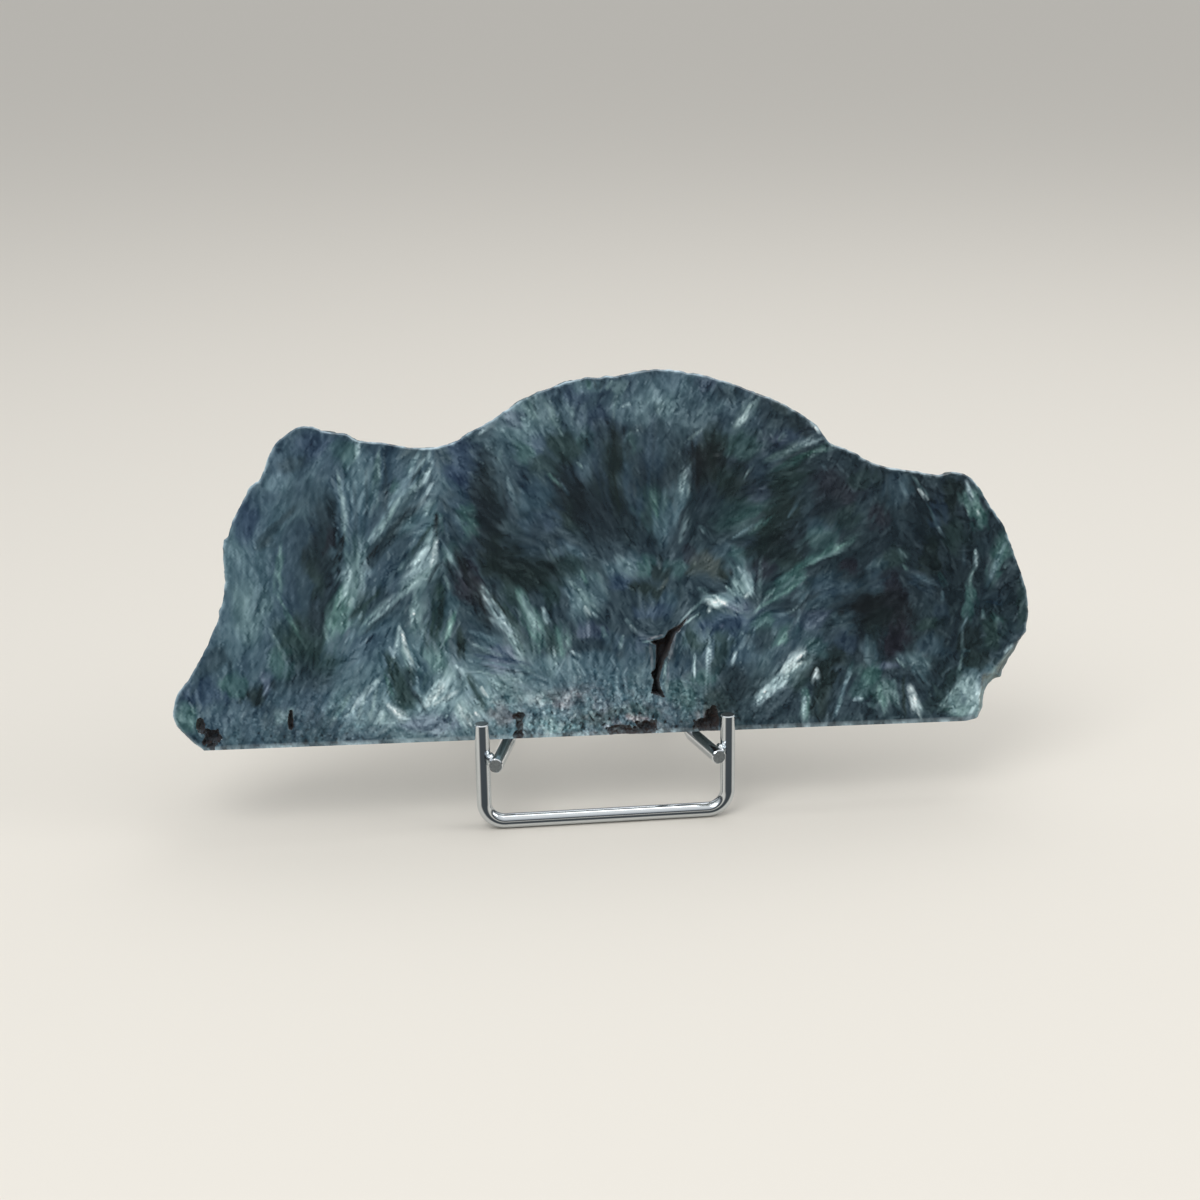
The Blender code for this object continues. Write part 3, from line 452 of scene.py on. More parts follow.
        (-43, 73.5, -46, 67, 2.8, 0.65), (-43, 56, -49, 46.5, 2.2, 0.7), (-43.4, 49, -52, 42, 2.4, 0.6),
        (-43.2, 68, -48, 60, 1.6, 0.5), (-44.5, 51.5, -49.6, 45, 3, 0.8), (-43.5, 47.6, -49, 44, 2, 0.5),
        (-48.8, 37, -49.4, 30, 1.6, 0.45), (-53, 31, -54.8, 21.5, 1.8, 0.7),
        (-47.2, 9.8, -40.2, 17.6, 5.2, 0.8), (-58, 9, -60, 4, 2, 0.5), (-39, 20, -36.4, 17.5, 1.8, 0.6),
        (-41.4, 23.8, -40.4, 22, 1.2, 0.5), (-31.6, 40, -25, 28, 3, 0.5), (-27, 33, -22.8, 26.6, 2.2, 0.5),
        (-15.6, 34.5, -13.8, 29, 1.8, 0.65), (-13.2, 24, -12.4, 18, 1, 0.5), (-31, 80, -26, 83.6, 1.6, 0.5),
        (7, 86.4, 9.6, 87.2, 1.2, 0.5), (10.8, 80.6, 11.4, 78.6, 1, 0.5), (21.6, 63, 24.4, 71.6, 2.2, 0.6),
        (23.4, 62, 24.4, 66, 1.2, 0.5), (37, 80.6, 41, 85, 2.2, 0.65), (46.2, 78.6, 46.8, 76.6, 0.9, 0.5),
        (55.6, 84, 59.8, 78.6, 1.6, 0.7), (50, 73.4, 60.4, 77.6, 2.4, 0.85),
        (36.4, 43.4, 38.8, 40.4, 2.4, 0.6), (38, 42, 40.6, 35, 2.2, 0.65),
        (24.6, 20.6, 24.2, 14.4, 1.4, 0.8), (28.8, 25.6, 28.2, 15.8, 1.9, 0.75),
        (35.6, 21, 34, 16.8, 1.6, 0.7), (39.2, 25.4, 35.6, 20.4, 1.8, 0.5), (40.6, 6.8, 57, 21.6, 6.4, 0.8),
        (41.2, 7.4, 47.6, 14.4, 4, 0.85), (53.6, 8.6, 53.6, 3.4, 1.8, 0.6),
        (64.6, 11, 66.6, 15.4, 1.4, 0.6), (67, 7, 69.6, 7.6, 2, 0.6), (84, 6.6, 85.8, 3, 2, 0.7),
        (101.6, 12.6, 101, 6.6, 1.8, 0.5), (99, 1.6, 103, 10, 3, 0.5), (108.6, 18, 111.2, 20.4, 1.6, 0.6),
        (91, 52.6, 92, 50.4, 1, 0.5), (101, 46.4, 101.2, 41.2, 2, 0.75), (99, 64.6, 100.6, 58, 2, 0.75),
        (-2, 32.6, -0.6, 30.8, 1, 0.5), (-8.6, 23, -5.4, 20.6, 1.6, 0.55),
        (-7.4, 20.4, -5.4, 15.6, 1.8, 0.6),
    ],
    "white": [
        (-65, 38.5, -66, 35.5, 1.2, 0.4), (-42.8, 53.5, -44, 46, 2.2, 0.75),
        (-52.6, 29.5, -49.4, 16.8, 1.6, 0.75), (-47, 9.6, -41.5, 15.6, 2.6, 0.8),
        (-45, 9.6, -38.8, 13, 2.4, 0.6), (-57, 10.5, -51.8, 6, 2.6, 0.7), (-38, 9.6, -35, 3.4, 3, 0.65),
        (-34.4, 7.6, -32.4, 5.2, 1.1, 0.7), (-32.2, 14, -30.6, 11, 1.8, 0.8),
        (-30, 10, -26.4, 9.4, 1.4, 0.6), (57.6, 80.8, 60, 78.4, 1.4, 0.6), (39.6, 36.6, 38.4, 35, 1.4, 0.5),
        (27.4, 34.6, 32.6, 33.8, 2.8, 0.85), (29, 33, 28.4, 31.6, 1.4, 0.7),
        (31.6, 34.4, 34, 33.6, 1.4, 0.8), (47.6, 15, 54.6, 20, 4, 0.8), (57.4, 15.8, 56.9, 11.6, 2, 0.9),
        (82.6, 10.4, 84.6, 2, 3.6, 0.85), (86, 63, 88.4, 59.6, 1.3, 0.75), (101.8, 57, 102, 55, 1, 0.5),
        (-4.4, 34.4, -3, 31.4, 1.8, 0.6), (7.6, 29, 9.2, 27, 1, 0.5),
    ],
}


def latticeNoise(x, y, size, seed):
    # smooth noise from 0 to 1 whose blotches are about that many millimetres wide
    table = np.random.default_rng(seed).random((256, 256))
    gx, gy = x / size + 91.3, y / size + 57.7
    ix, iy = np.floor(gx).astype(int), np.floor(gy).astype(int)
    fx, fy = smoothStep(0, 1, gx - ix), smoothStep(0, 1, gy - iy)
    ix, iy, jx, jy = ix % 256, iy % 256, (ix + 1) % 256, (iy + 1) % 256
    low = table[iy, ix] * (1 - fx) + table[iy, jx] * fx
    high = table[jy, ix] * (1 - fx) + table[jy, jx] * fx
    return low * (1 - fy) + high * fy


def cloudNoise(x, y, size, seed, octaves=3):
    # from -1 to 1
    total, weight = 0.0, 0.0
    for octave in range(octaves):
        share = 0.55 ** octave
        total = total + share * latticeNoise(x, y, size / 2 ** octave, seed + octave)
        weight += share
    return 2 * total / weight - 1


def fieldGrid(pitch):
    xs = np.arange(patternField["left"], patternField["right"], pitch)
    ys = np.arange(patternField["low"], patternField["high"], pitch)
    return np.meshgrid(xs, ys)


def sampleField(field, x, y, pitch):
    gx = np.clip((x - patternField["left"]) / pitch, 0, field.shape[1] - 1.001)
    gy = np.clip((y - patternField["low"]) / pitch, 0, field.shape[0] - 1.001)
    ix, iy = gx.astype(int), gy.astype(int)
    fx, fy = gx - ix, gy - iy
    if field.ndim == 3:
        fx, fy = fx[..., None], fy[..., None]
    low = field[iy, ix] * (1 - fx) + field[iy, ix + 1] * fx
    high = field[iy + 1, ix] * (1 - fx) + field[iy + 1, ix + 1] * fx
    return low * (1 - fy) + high * fy


def strokeAxes(stroke, x, y):
    # distance along the stroke as a share of its length, distance across it, and its length
    x0, y0, x1, y1 = stroke[:4]
    length = math.hypot(x1 - x0, y1 - y0)
    ux, uy = (x1 - x0) / length, (y1 - y0) / length
    along = ((x - x0) * ux + (y - y0) * uy) / length
    across = (y - y0) * ux - (x - x0) * uy
    return along, across, length


def fibreLie():
    # the angle of the fibres at each point: every flow and every plume pulls them its way
    x, y = fieldGrid(patternField["flowPitch"])
    pull = np.full(x.shape, 0.02 * np.exp(2j * math.radians(80)))
    for cx, cy, rx, ry, ax, ay in fibreFlows.values():
        weight = np.exp(-((x - cx) / rx) ** 2 - ((y - cy) / ry) ** 2)
        pull += weight * np.exp(2j * np.arctan2(y - ay, x - ax))
    for stroke in [plume for tone in plumes.values() for plume in tone]:
        width, strength = stroke[4:]
        along, across, length = strokeAxes(stroke, x, y)
        beyond = np.maximum(0, abs(along - 0.5) - 0.5) * length / 2.0
        weight = 1.6 * strength * np.exp(-(across / (0.9 * width + 0.8)) ** 2 - beyond ** 2)
        angle = math.atan2(stroke[3] - stroke[1], stroke[2] - stroke[0])
        angle = angle + np.arctan(across / np.maximum(along * length + 2 * width, width)) * width / length
        pull += weight * np.exp(2j * angle)
    return np.angle(pull) / 2 + 0.5 * cloudNoise(x, y, 14.0, 21, 2)


def combFibres(lie, pitch, reach, grain, seed):
    # noise smeared along the fibres: each point averages what lies up and down its own fibre
    x, y = fieldGrid(pitch)
    source = latticeNoise(x, y, grain, seed)
    total, weight = source.copy(), 1.0
    steps = int(reach / pitch)
    flowPitch = patternField["flowPitch"]
    for sign in (1.0, -1.0):
        px, py, lastX, lastY = x.copy(), y.copy(), None, None
        for step in range(steps):
            ix = np.clip(((px - patternField["left"]) / flowPitch + 0.5).astype(int), 0, lie.shape[1] - 1)
            iy = np.clip(((py - patternField["low"]) / flowPitch + 0.5).astype(int), 0, lie.shape[0] - 1)
            angle = lie[iy, ix]
            dx, dy = np.cos(angle), np.sin(angle)
            turned = sign if lastX is None else np.where(dx * lastX + dy * lastY < 0, -1.0, 1.0)
            lastX, lastY = dx * turned, dy * turned
            px += lastX * pitch
            py += lastY * pitch
            fade = 0.5 + 0.5 * math.cos(math.pi * (step + 1) / (steps + 1))
            total += fade * sampleField(source, px, py, pitch)
            weight += fade
    field = total / weight
    return (field - field.mean()) / field.std()


def blendTone(colour, tone, mask):
    return colour + (hexValues(stoneTones[tone]) - colour) * mask[..., None]


def flakeNoise(x, y, size, seed):
    # small crystals, each of its own brightness from -1 to 1
    table = np.random.default_rng(seed).random((3, 256, 256))
    gx, gy = x / size + 33.1, y / size + 71.9
    cellX, cellY = np.floor(gx).astype(int), np.floor(gy).astype(int)
    nearest, shade = np.full(x.shape, 9.0), np.zeros(x.shape)
    for stepX in (-1, 0, 1):
        for stepY in (-1, 0, 1):
            ix, iy = (cellX + stepX) % 256, (cellY + stepY) % 256
            dx, dy = cellX + stepX + table[0, iy, ix] - gx, cellY + stepY + table[1, iy, ix] - gy
            away = dx * dx + dy * dy
            closer = away < nearest
            nearest = np.where(closer, away, nearest)
            shade = np.where(closer, table[2, iy, ix], shade)
    return 2 * shade - 1


# small crystals strewn over the face, painted one over the other, each lighter or darker than its ground:
# how many, shortest and longest, slimmest and widest in mm, how far they turn from the fibres, strength
splinterKinds = {
    "blades": (1500, 5.0, 14.0, 1.6, 4.4, 0.25, 0.6),
    "splinters": (3600, 2.5, 8.0, 0.8, 2.2, 0.30, 0.6),
    "needles": (9000, 1.2, 4.5, 0.35, 0.8, 0.35, 0.5),
}
footKinds = {
    "flakes": (3600, 1.6, 4.5, 0.9, 2.4, 1.6, 0.7),
    "grains": (7500, 0.7, 1.8, 0.5, 1.1, 1.6, 0.8),
}

# soft round parts of the face: middle x, y, reach x, reach y, share
faceParts = {
    "shadows": [
        (15, 80, 45, 14, 0.12), (48, 70, 28, 15, 0.14), (92, 50, 20, 24, 0.14), (68, 28, 12, 9, 0.12),
        (-29, 61, 5, 16, 0.22), (1, 61, 9, 9, 0.14), (-20, 46, 12, 8, 0.10), (-76, 48, 6, 20, 0.18),
        (29, 70, 5, 8, 0.14),
    ],
    # where the crystals stand out less
    "calm": [
        (8, 66, 30, 15, 0.55), (60, 52, 32, 15, 0.45), (78, 27, 17, 13, 0.5), (-96, 66, 20, 20, 0.35),
        (-20, 52, 12, 10, 0.4), (-77, 54, 7, 22, 0.6), (-96, 38, 10, 16, 0.5), (-76, 32, 6, 8, 0.4),
    ],
    # where the foot is gritty
    "gritty": [(2, 0, 30, math.inf, 1.0), (-78, 0, 20, math.inf, 0.45)],
}

# clouds that break up the painting: size in mm, seed, octaves
cloudKinds = {
    "mottle": (6.0, 41, 3), "blotch": (2.4, 91, 3), "speck": (1.1, 51, 2),
    "driftX": (9.0, 61, 3), "driftY": (9.0, 71, 3), "hue": (7.0, 141, 3),
}

# noise combed along the fibres: pitch, reach and grain in mm, seed, how firmly it parts light from dark
combKinds = {
    "blade": (0.5, 7.0, 2.4, 31, 1.3), "splinter": (0.25, 2.6, 1.1, 32, 1.2),
    "hair": (0.25, 1.3, 0.5, 33, 0.0), "silk": (1.0, 7.0, 3.2, 35, 1.5),
}

# how much each of them shows
patternMix = {
    "drift": 2.5, "waver": 0.8,
    "poolEdge": (0.45, 1.3), "poolBlade": 0.12, "poolCrystals": 0.22,
    "plumeEdge": (0.3, 1.45), "plumeRays": 0.75, "plumeCrystals": 0.3,
    "plumeSplinter": 0.20, "plumeHair": 0.12,
    "crystals": 0.95, "grains": 0.25, "grittyGrains": 0.8,
    "blade": 0.16, "splinter": 0.10, "hair": 0.06,
    "feltBlotch": 0.22, "feltSpeck": 0.16, "feltMottle": 0.26,
    "hue": 0.035, "hueTint": (-0.10, 0.25, -0.25),
    "rosy": 0.08, "rosyTint": (1.0, -0.2, -0.3), "rosyFlake": 1.5,
    "pitting": 0.8, "crispness": 0.8, "balance": (0.9603, 0.97, 0.9506),
}


def softParts(name, x, y):
    return sum(share * np.exp(-((x - cx) / rx) ** 2 - ((y - cy) / ry) ** 2)
               for cx, cy, rx, ry, share in faceParts[name])


def fieldPart(left, right, low, high):
    # the rows and columns of the field that cover a box
    pitch, startX, startY = patternField["pitch"], patternField["left"], patternField["low"]
    return (slice(max(0, int((low - startY) / pitch)), int((high - startY) / pitch) + 2),
            slice(max(0, int((left - startX) / pitch)), int((right - startX) / pitch) + 2))


def strewnCrystals(lie, kinds, low, high, seed):
    # from -1, dark, to 1, light
    random = np.random.default_rng(seed)
    x, y = fieldGrid(patternField["pitch"])
    ground = np.zeros(x.shape)
    flowPitch, startX, startY = patternField["flowPitch"], patternField["left"], patternField["low"]
    for count, shortest, longest, slimmest, widest, turn, strength in kinds.values():
        for _ in range(count):
            cx = random.uniform(startX, patternField["right"])
            cy = random.uniform(low, high)
            length = shortest * (longest / shortest) ** random.random()
            half = 0.5 * slimmest * (widest / slimmest) ** random.random()
            # they lie in less order at the right end and along the top
            tangle = 1 + 1.6 * smoothStep(50, 80, cx) + 0.7 * smoothStep(66, 84, cy)
            fibre = lie[int((cy - startY) / flowPitch), int((cx - startX) / flowPitch)]
            angle = fibre + random.normal(0, turn) * tangle
            shade = np.clip(random.normal(0, 0.6), -0.75, 1)
            reach = 0.5 * length + half
            part = fieldPart(cx - reach, cx + reach, cy - reach, cy + reach)
            dx, dy = x[part] - cx, y[part] - cy
            along = (dx * math.cos(angle) + dy * math.sin(angle)) / (0.5 * length)
            across = (dy * math.cos(angle) - dx * math.sin(angle)) / half
            taper = np.maximum(0.15, 1 - 0.7 * abs(along))
            body = abs(across) / taper + np.maximum(0, abs(along) - 0.75) * 4
            mask = strength * (1 - smoothStep(0.35, 1.35, body))
            ground[part] += (shade * (1 - 0.35 * across * np.sign(shade)) - ground[part]) * mask
    return ground


def patternFields(lie, x, y):
    fields = {name: cloudNoise(x, y, *kind) for name, kind in cloudKinds.items()}
    for name, (*kind, firmness) in combKinds.items():
        combed = sampleField(combFibres(lie, *kind), x, y, kind[0])
        fields[name] = np.tanh(firmness * combed) if firmness else combed
    fields["crystals"] = strewnCrystals(lie, splinterKinds, -3.0, 99.0, 151)
    fields["grains"] = strewnCrystals(lie, footKinds, -3.0, 30.0, 161)
    return fields


def paintPools(x, y, fields):
    mix = patternMix
    warpX = x + mix["drift"] * fields["driftX"] + mix["waver"] * (fields["splinter"] + fields["blotch"])
    warpY = y + mix["drift"] * fields["driftY"] + mix["waver"] * fields["blotch"]
    ragged = mix["poolBlade"] * fields["blade"] + mix["poolCrystals"] * fields["crystals"]
    colour = np.zeros(x.shape + (3,)) + hexValues(stoneTones["slateDark"])
    for cx, cy, rx, ry, tone, strength, *lean in colourPools:
        turn = math.radians(sum(lean))
        along = (warpX - cx) * math.cos(turn) + (warpY - cy) * math.sin(turn)
        across = (warpY - cy) * math.cos(turn) - (warpX - cx) * math.sin(turn)
        away = np.hypot(along / rx, across / ry) + ragged
        colour = blendTone(colour, tone, strength * (1 - smoothStep(*mix["poolEdge"], away)))
    return colour


def paintPlumes(colour, x, y, fields):
    # each plume is a bundle of rays, brighter and darker, that fray at its edge and at its far end
    mix = patternMix
    strokes = [(tone, plume) for tone in plumes for plume in plumes[tone]]
    for index, (tone, stroke) in enumerate(strokes):
        x0, y0, x1, y1, width, strength = stroke
        pad = width + 2
        part = fieldPart(min(x0, x1) - pad, max(x0, x1) + pad, min(y0, y1) - pad, max(y0, y1) + pad)
        near = {name: field[part] for name, field in fields.items()}
        along, across, length = strokeAxes(
            stroke, x[part] + 0.5 * near["mottle"], y[part] + 0.3 * near["blotch"])
        half = 0.5 * width * (0.4 + 0.7 * np.clip(along, 0.0, 1.0) ** 0.6)
        rays = latticeNoise(across / half * 3.0, along * length / 5, 1.0, 400 + index)
        rays = rays + 0.6 * latticeNoise(across * 2.2, along * length / 2.5, 1.0, 600 + index) - 0.8
        aside = abs(across) / half + mix["plumeRays"] * rays + mix["plumeCrystals"] * near["crystals"]
        aside = aside + mix["plumeSplinter"] * near["splinter"] + mix["plumeHair"] * near["hair"]
        ends = smoothStep(-0.1, 0.12, along) * (1 - smoothStep(0.6, 1.15, along - 0.3 * rays))
        body = 1 - smoothStep(*mix["plumeEdge"], aside)
        mask = 0.9 * strength * body * ends * (1.0 + 0.9 * rays + 0.15 * near["hair"])
        colour[part] = blendTone(colour[part], tone, np.clip(mask, 0.0, 1.0))
    return colour


def paintPattern():
    mix = patternMix
    lie = fibreLie()
    x, y = fieldGrid(patternField["pitch"])
    fields = patternFields(lie, x, y)
    colour = paintPlumes(paintPools(x, y, fields), x, y, fields)
    foot = 1 - smoothStep(5.0, 22.0, y + 5 * fields["mottle"])
    gritty = foot * softParts("gritty", x, y)

    # crystals and fibres, each lighter or darker than its ground
    shade = mix["crystals"] * fields["crystals"] * (1 - 0.5 * gritty) * (1 - softParts("calm", x, y))
    shade = shade + (mix["grains"] * foot + mix["grittyGrains"] * gritty) * fields["grains"]
    shade = shade + mix["blade"] * fields["blade"] * (1 - foot)
    shade = shade + mix["splinter"] * fields["splinter"] + mix["hair"] * fields["hair"]
    felt = 0.5 + 0.5 * smoothStep(45, 75, x) + 0.5 * smoothStep(60, 80, y)
    for cloud, share in (("blotch", "feltBlotch"), ("speck", "feltSpeck"), ("mottle", "feltMottle")):
        shade = shade + felt * mix[share] * fields[cloud]
    light = colour.mean(2)
    gain = np.where(shade > 0, 0.03 + 0.55 * light, 0.02 + 0.62 * light)
    lit = (1 - softParts("shadows", x, y))[..., None]
    colour = (colour + (gain * shade)[..., None]) * lit

    # greener and bluer silk, rosy grit and dark pores
    silk = mix["hue"] * light * (1 - light) * (fields["silk"] + fields["hue"])
    colour = colour + silk[..., None] * np.array(mix["hueTint"])
    flakes = flakeNoise(x + 0.4 * fields["speck"], y + 0.4 * fields["blotch"], mix["rosyFlake"], 171)
    rosy = mix["rosy"] * gritty * light * (0.5 * flakes + fields["mottle"] + 0.3)
    colour = colour + rosy[..., None] * np.array(mix["rosyTint"])
    pores = smoothStep(0.35, 0.7, -fields["grains"]) * smoothStep(9.0, 2.0, y + 3 * fields["blotch"])
    colour = blendTone(colour, "pitDark", mix["pitting"] * np.clip(gritty * pores, 0, 1))

    around = sum(np.roll(colour, step, axis) for step in (-2, 2) for axis in (0, 1)) / 4
    colour = colour + mix["crispness"] * (colour - around)
    return lie, np.clip(colour * np.array(mix["balance"]), 0.0, 1.0), gritty


def curveLoop(points, spacing):
    # the outline as evenly spaced points
    curve = bpy.data.curves.new("outlineGuide", "CURVE")
    curve.dimensions = "2D"
    spline = curve.splines.new("BEZIER")
    spline.use_cyclic_u = True
    spline.resolution_u = 24
    spline.bezier_points.add(len(points) - 1)
    for point, (x, y, *turn) in zip(spline.bezier_points, points):
        point.co = (x, y, 0.0)
        point.handle_left_type = point.handle_right_type = "VECTOR" if turn else "AUTO"
    guide = bpy.data.objects.new("outlineGuide", curve)
    bpy.context.scene.collection.objects.link(guide)
    bpy.context.view_layer.update()
    mesh = bpy.data.meshes.new_from_object(guide.evaluated_get(bpy.context.evaluated_depsgraph_get()))
    loop = np.array([vert.co[:2] for vert in mesh.vertices])
    bpy.data.objects.remove(guide)
    bpy.data.curves.remove(curve)
    bpy.data.meshes.remove(mesh)
    return evenLoop(loop, spacing)


def evenLoop(loop, spacing):
    closed = np.vstack([loop, loop[:1]])
    steps = np.hypot(*np.diff(closed, axis=0).T)
    reach = np.concatenate([[0], np.cumsum(steps)])
    count = int(round(reach[-1] / spacing))
    marks = np.linspace(0, reach[-1], count, endpoint=False)
    return np.stack([np.interp(marks, reach, closed[:, k]) for k in (0, 1)], axis=1)


def loopNormals(loop):
    # outward, for a loop that runs clockwise
    ahead = np.roll(loop, -1, axis=0) - np.roll(loop, 1, axis=0)
    outward = np.stack([-ahead[:, 1], ahead[:, 0]], axis=1)
    return outward / np.linalg.norm(outward, axis=1)[:, None]


def insideLoop(loop, points):
    # even-odd test against every edge of the loop
    inside = np.zeros(len(points), bool)
    x, y = points[:, 0], points[:, 1]
    for (ax, ay), (bx, by) in zip(loop, np.roll(loop, -1, axis=0)):
        if ay == by:
            continue
        crossed = (ay > y) != (by > y)
        inside ^= crossed & (x < ax + (y - ay) * (bx - ax) / (by - ay))
    return inside


def loopDistance(loop, points):
    tree = kdtree.KDTree(len(loop))
    for index, (x, y) in enumerate(loop):
        tree.insert((x, y, 0.0), index)
    tree.balance()
    return np.array([tree.find((x, y, 0.0))[2] for x, y in points])


def hexGrid(box, pitch):
    # points in rows, every second row half a step along
    left, right, low, high = box
    rows = np.arange(low, high, pitch * math.sqrt(0.75))
    grid = []
    for index, y in enumerate(rows):
        xs = np.arange(left + (index % 2) * pitch / 2, right, pitch)
        grid.append(np.stack([xs, np.full(len(xs), y)], axis=1))
    return np.vstack(grid)


def breakAxes(meeting, lie, x, y):
    turn = math.radians(lie)
    run = (x - meeting[0]) * math.cos(turn) + (y - meeting[1]) * math.sin(turn)
    beyond = -(y - meeting[1]) * math.cos(turn) + (x - meeting[0]) * math.sin(turn)
    return run, beyond


def breakDepth(x, y):
    # depth of the broken bevels at the right end, with ridges that run down them
    depth = np.zeros(len(x))
    for meeting, length, lie in slabShape["breaks"]:
        run, beyond = breakAxes(meeting, lie, x, y)
        slope = 1 / math.tan(math.radians(slabShape["breakSlope"]))
        ridge = 0.35 * cloudNoise(run, beyond * 0.25, 1.3, 301, 2)
        ridge = ridge + 0.25 * cloudNoise(run, beyond, 2.4, 305)
        fall = np.maximum(0, (beyond + 0.5 * ridge) * slope * (1 + 0.4 * ridge))
        depth = np.maximum(depth, fall * (1 - smoothStep(length / 2 - 4, length / 2, abs(run))))
    return np.minimum(depth, slabShape["thickness"] - slabShape["breakKeeps"])


def pitDepth(x, y):
    depth = np.zeros(len(x))
    for index, (cx, cy, width, height, deep) in enumerate(slabShape["pits"].values()):
        ragged = 1 + 0.55 * cloudNoise(x, y, 1.5, 310 + 3 * index)
        away = np.hypot((x - cx) * 2 / width, (y - cy) * 2 / height) / ragged
        lumps = 1 + 0.6 * cloudNoise(x, y, 1.2, 350 + 3 * index)
        depth = np.maximum(depth, deep * lumps * np.sqrt(np.clip(1 - away ** 2, 0, 1)))
    return depth


def crackDepth(x, y):
    lips = evenLoop(np.array(slabShape["crackLips"]), 0.1)
    points = np.stack([x, y], axis=1)
    depth = np.zeros(len(x))
    left, right, low, high = slabShape["crackBox"]
    near = (x > left) & (x < right) & (y > low) & (y < high)
    inside = np.zeros(len(x), bool)
    inside[near] = insideLoop(lips, points[near])
    deep = slabShape["crackDepth"] * (1 - 0.8 * smoothStep(17.0, 20.5, x[inside]))
    depth[inside] = deep * smoothStep(-0.1, 0.75, loopDistance(lips, points[inside]))
    return depth


def slabOutline():
    loop = curveLoop(slabShape["outline"], slabShape["edgeSpacing"])
    outward = loopNormals(loop)
    ragged = slabShape["edgeJitter"] * cloudNoise(loop[:, 0], loop[:, 1], slabShape["edgeChip"], 501)
    ragged = ragged * smoothStep(0.3, 2.0, loop[:, 1])  # the sawn foot stays straight
    return loop + outward * ragged[:, None], outward


def faceGrid(loop):
    # points over the face, closer together round the crack and the pits
    grid = hexGrid(slabShape["faceBox"], slabShape["facePitch"])
    boxes = [slabShape["crackBox"]]
    for cx, cy, width, height, _ in slabShape["pits"].values():
        boxes.append((cx - 0.7 * width, cx + 0.7 * width, max(0.2, cy - 0.7 * height), cy + 0.7 * height))
    for box in boxes:
        left, right, low, high = box
        outside = (grid[:, 0] < left) | (grid[:, 0] > right) | (grid[:, 1] < low) | (grid[:, 1] > high)
        grid = np.vstack([grid[outside], hexGrid(box, slabShape["brokenPitch"])])
    grid = grid[insideLoop(loop, grid)]
    arris = np.where(grid[:, 1] < 2.0, slabShape["footArris"], slabShape["arris"])
    return grid[loopDistance(evenLoop(loop, 0.15), grid) > arris + slabShape["arrisClear"]]


def fillLoop(points, count):
    # triangles over points of which the first ones are the closed edge
    ring = [(i, (i + 1) % count) for i in range(count)]
    places = [Vector(point) for point in points]
    verts, _, faces, _, _, _ = geometry.delaunay_2d_cdt(places, ring, [], 1, 1e-5)
    return np.array([vert[:] for vert in verts]), [tuple(face) for face in faces]


def rimRing(loop, outward, lip, share):
    # one ring down the rim, with the lumps and the undercut of a natural rind
    ringZ = lip * (1 - share) - slabShape["thickness"] * share
    ring = np.column_stack([loop, ringZ])
    for index, place in enumerate(ring):
        spot, depth = Vector(place), -place[2] / slabShape["thickness"]
        lump = noise.noise(spot / slabShape["lumpSize"]) + 0.5 * noise.noise(spot / slabShape["chipSize"])
        grain = 0.16 * noise.noise(spot / slabShape["grainSize"])
        grain += 0.08 * noise.noise(spot / slabShape["gritSize"])
        offset = lump * slabShape["rimRoughness"] * min(1.0, 2 * depth) + grain * min(1.0, 4 * depth)
        offset -= slabShape["rimUndercut"] * depth ** 2
        ring[index, :2] += outward[index] * offset * smoothStep(0.4, 3.0, place[1])
    return ring


def buildSlab():
    loop, outward = slabOutline()
    count, ringCount = len(loop), slabShape["rimRings"]
    arris = np.where(outward[:, 1] < -0.95, slabShape["footArris"], slabShape["arris"])
    inner = loop - outward * arris[:, None]
    flat, frontFaces = fillLoop(np.vstack([loop, inner, faceGrid(loop)]), count)
    x, y = flat[:, 0], flat[:, 1]
    hollow, breaks = np.maximum(pitDepth(x, y), crackDepth(x, y)), breakDepth(x, y)
    drop = np.where(np.arange(len(flat)) < count, slabShape["arris"] * slabShape["arrisDrop"], 0.0)
    front = np.column_stack([flat, -np.maximum(hollow, breaks) - drop])

    rings = [rimRing(loop, outward, front[:count, 2], (k + 1) / ringCount) for k in range(ringCount)]
    backLoop = rings[-1][:, :2]
    backGrid = hexGrid(slabShape["backBox"], slabShape["backPitch"])
    backGrid = backGrid[insideLoop(backLoop, backGrid)]
    backGrid = backGrid[loopDistance(backLoop, backGrid) > slabShape["backPitch"] / 2]
    backFlat, backFaces = fillLoop(np.vstack([backLoop, backGrid]), count)
    back = np.column_stack([backFlat, np.full(len(backFlat), -slabShape["thickness"])])
    verts = np.vstack([front, *rings[:-1], back])

    faces, kinds = frontFaces, ["polished"] * len(frontFaces)
    starts = [0] + [len(front) + k * count for k in range(ringCount)]
    for above, below in zip(starts, starts[1:]):
        for i in range(count):
            j = (i + 1) % count
            faces.append((above + i, below + i, below + j, above + j))
            sawn = max(loop[i][1], loop[j][1]) < slabShape["sawnBelow"]
            kinds.append("sawn" if sawn else "rind")
    faces += [tuple(starts[-1] + i for i in reversed(face)) for face in backFaces]
    kinds += ["sawn"] * len(backFaces)
    return verts, faces, kinds, hollow, breaks, count


def faceSlots(verts, faces, kinds, hollow, breaks):
    # the material slot of each face
    slots = {"polished": 0, "rind": 1, "sawn": 2, "hollow": 3}
    for index, face in enumerate(faces):
        if kinds[index] == "polished":
            if max(hollow[i] for i in face) > slabShape["hollowFrom"]:
                kinds[index] = "hollow"
            elif min(breaks[i] for i in face) > slabShape["breakFrom"]:
                kinds[index] = "rind"
    return [slots[kind] for kind in kinds]


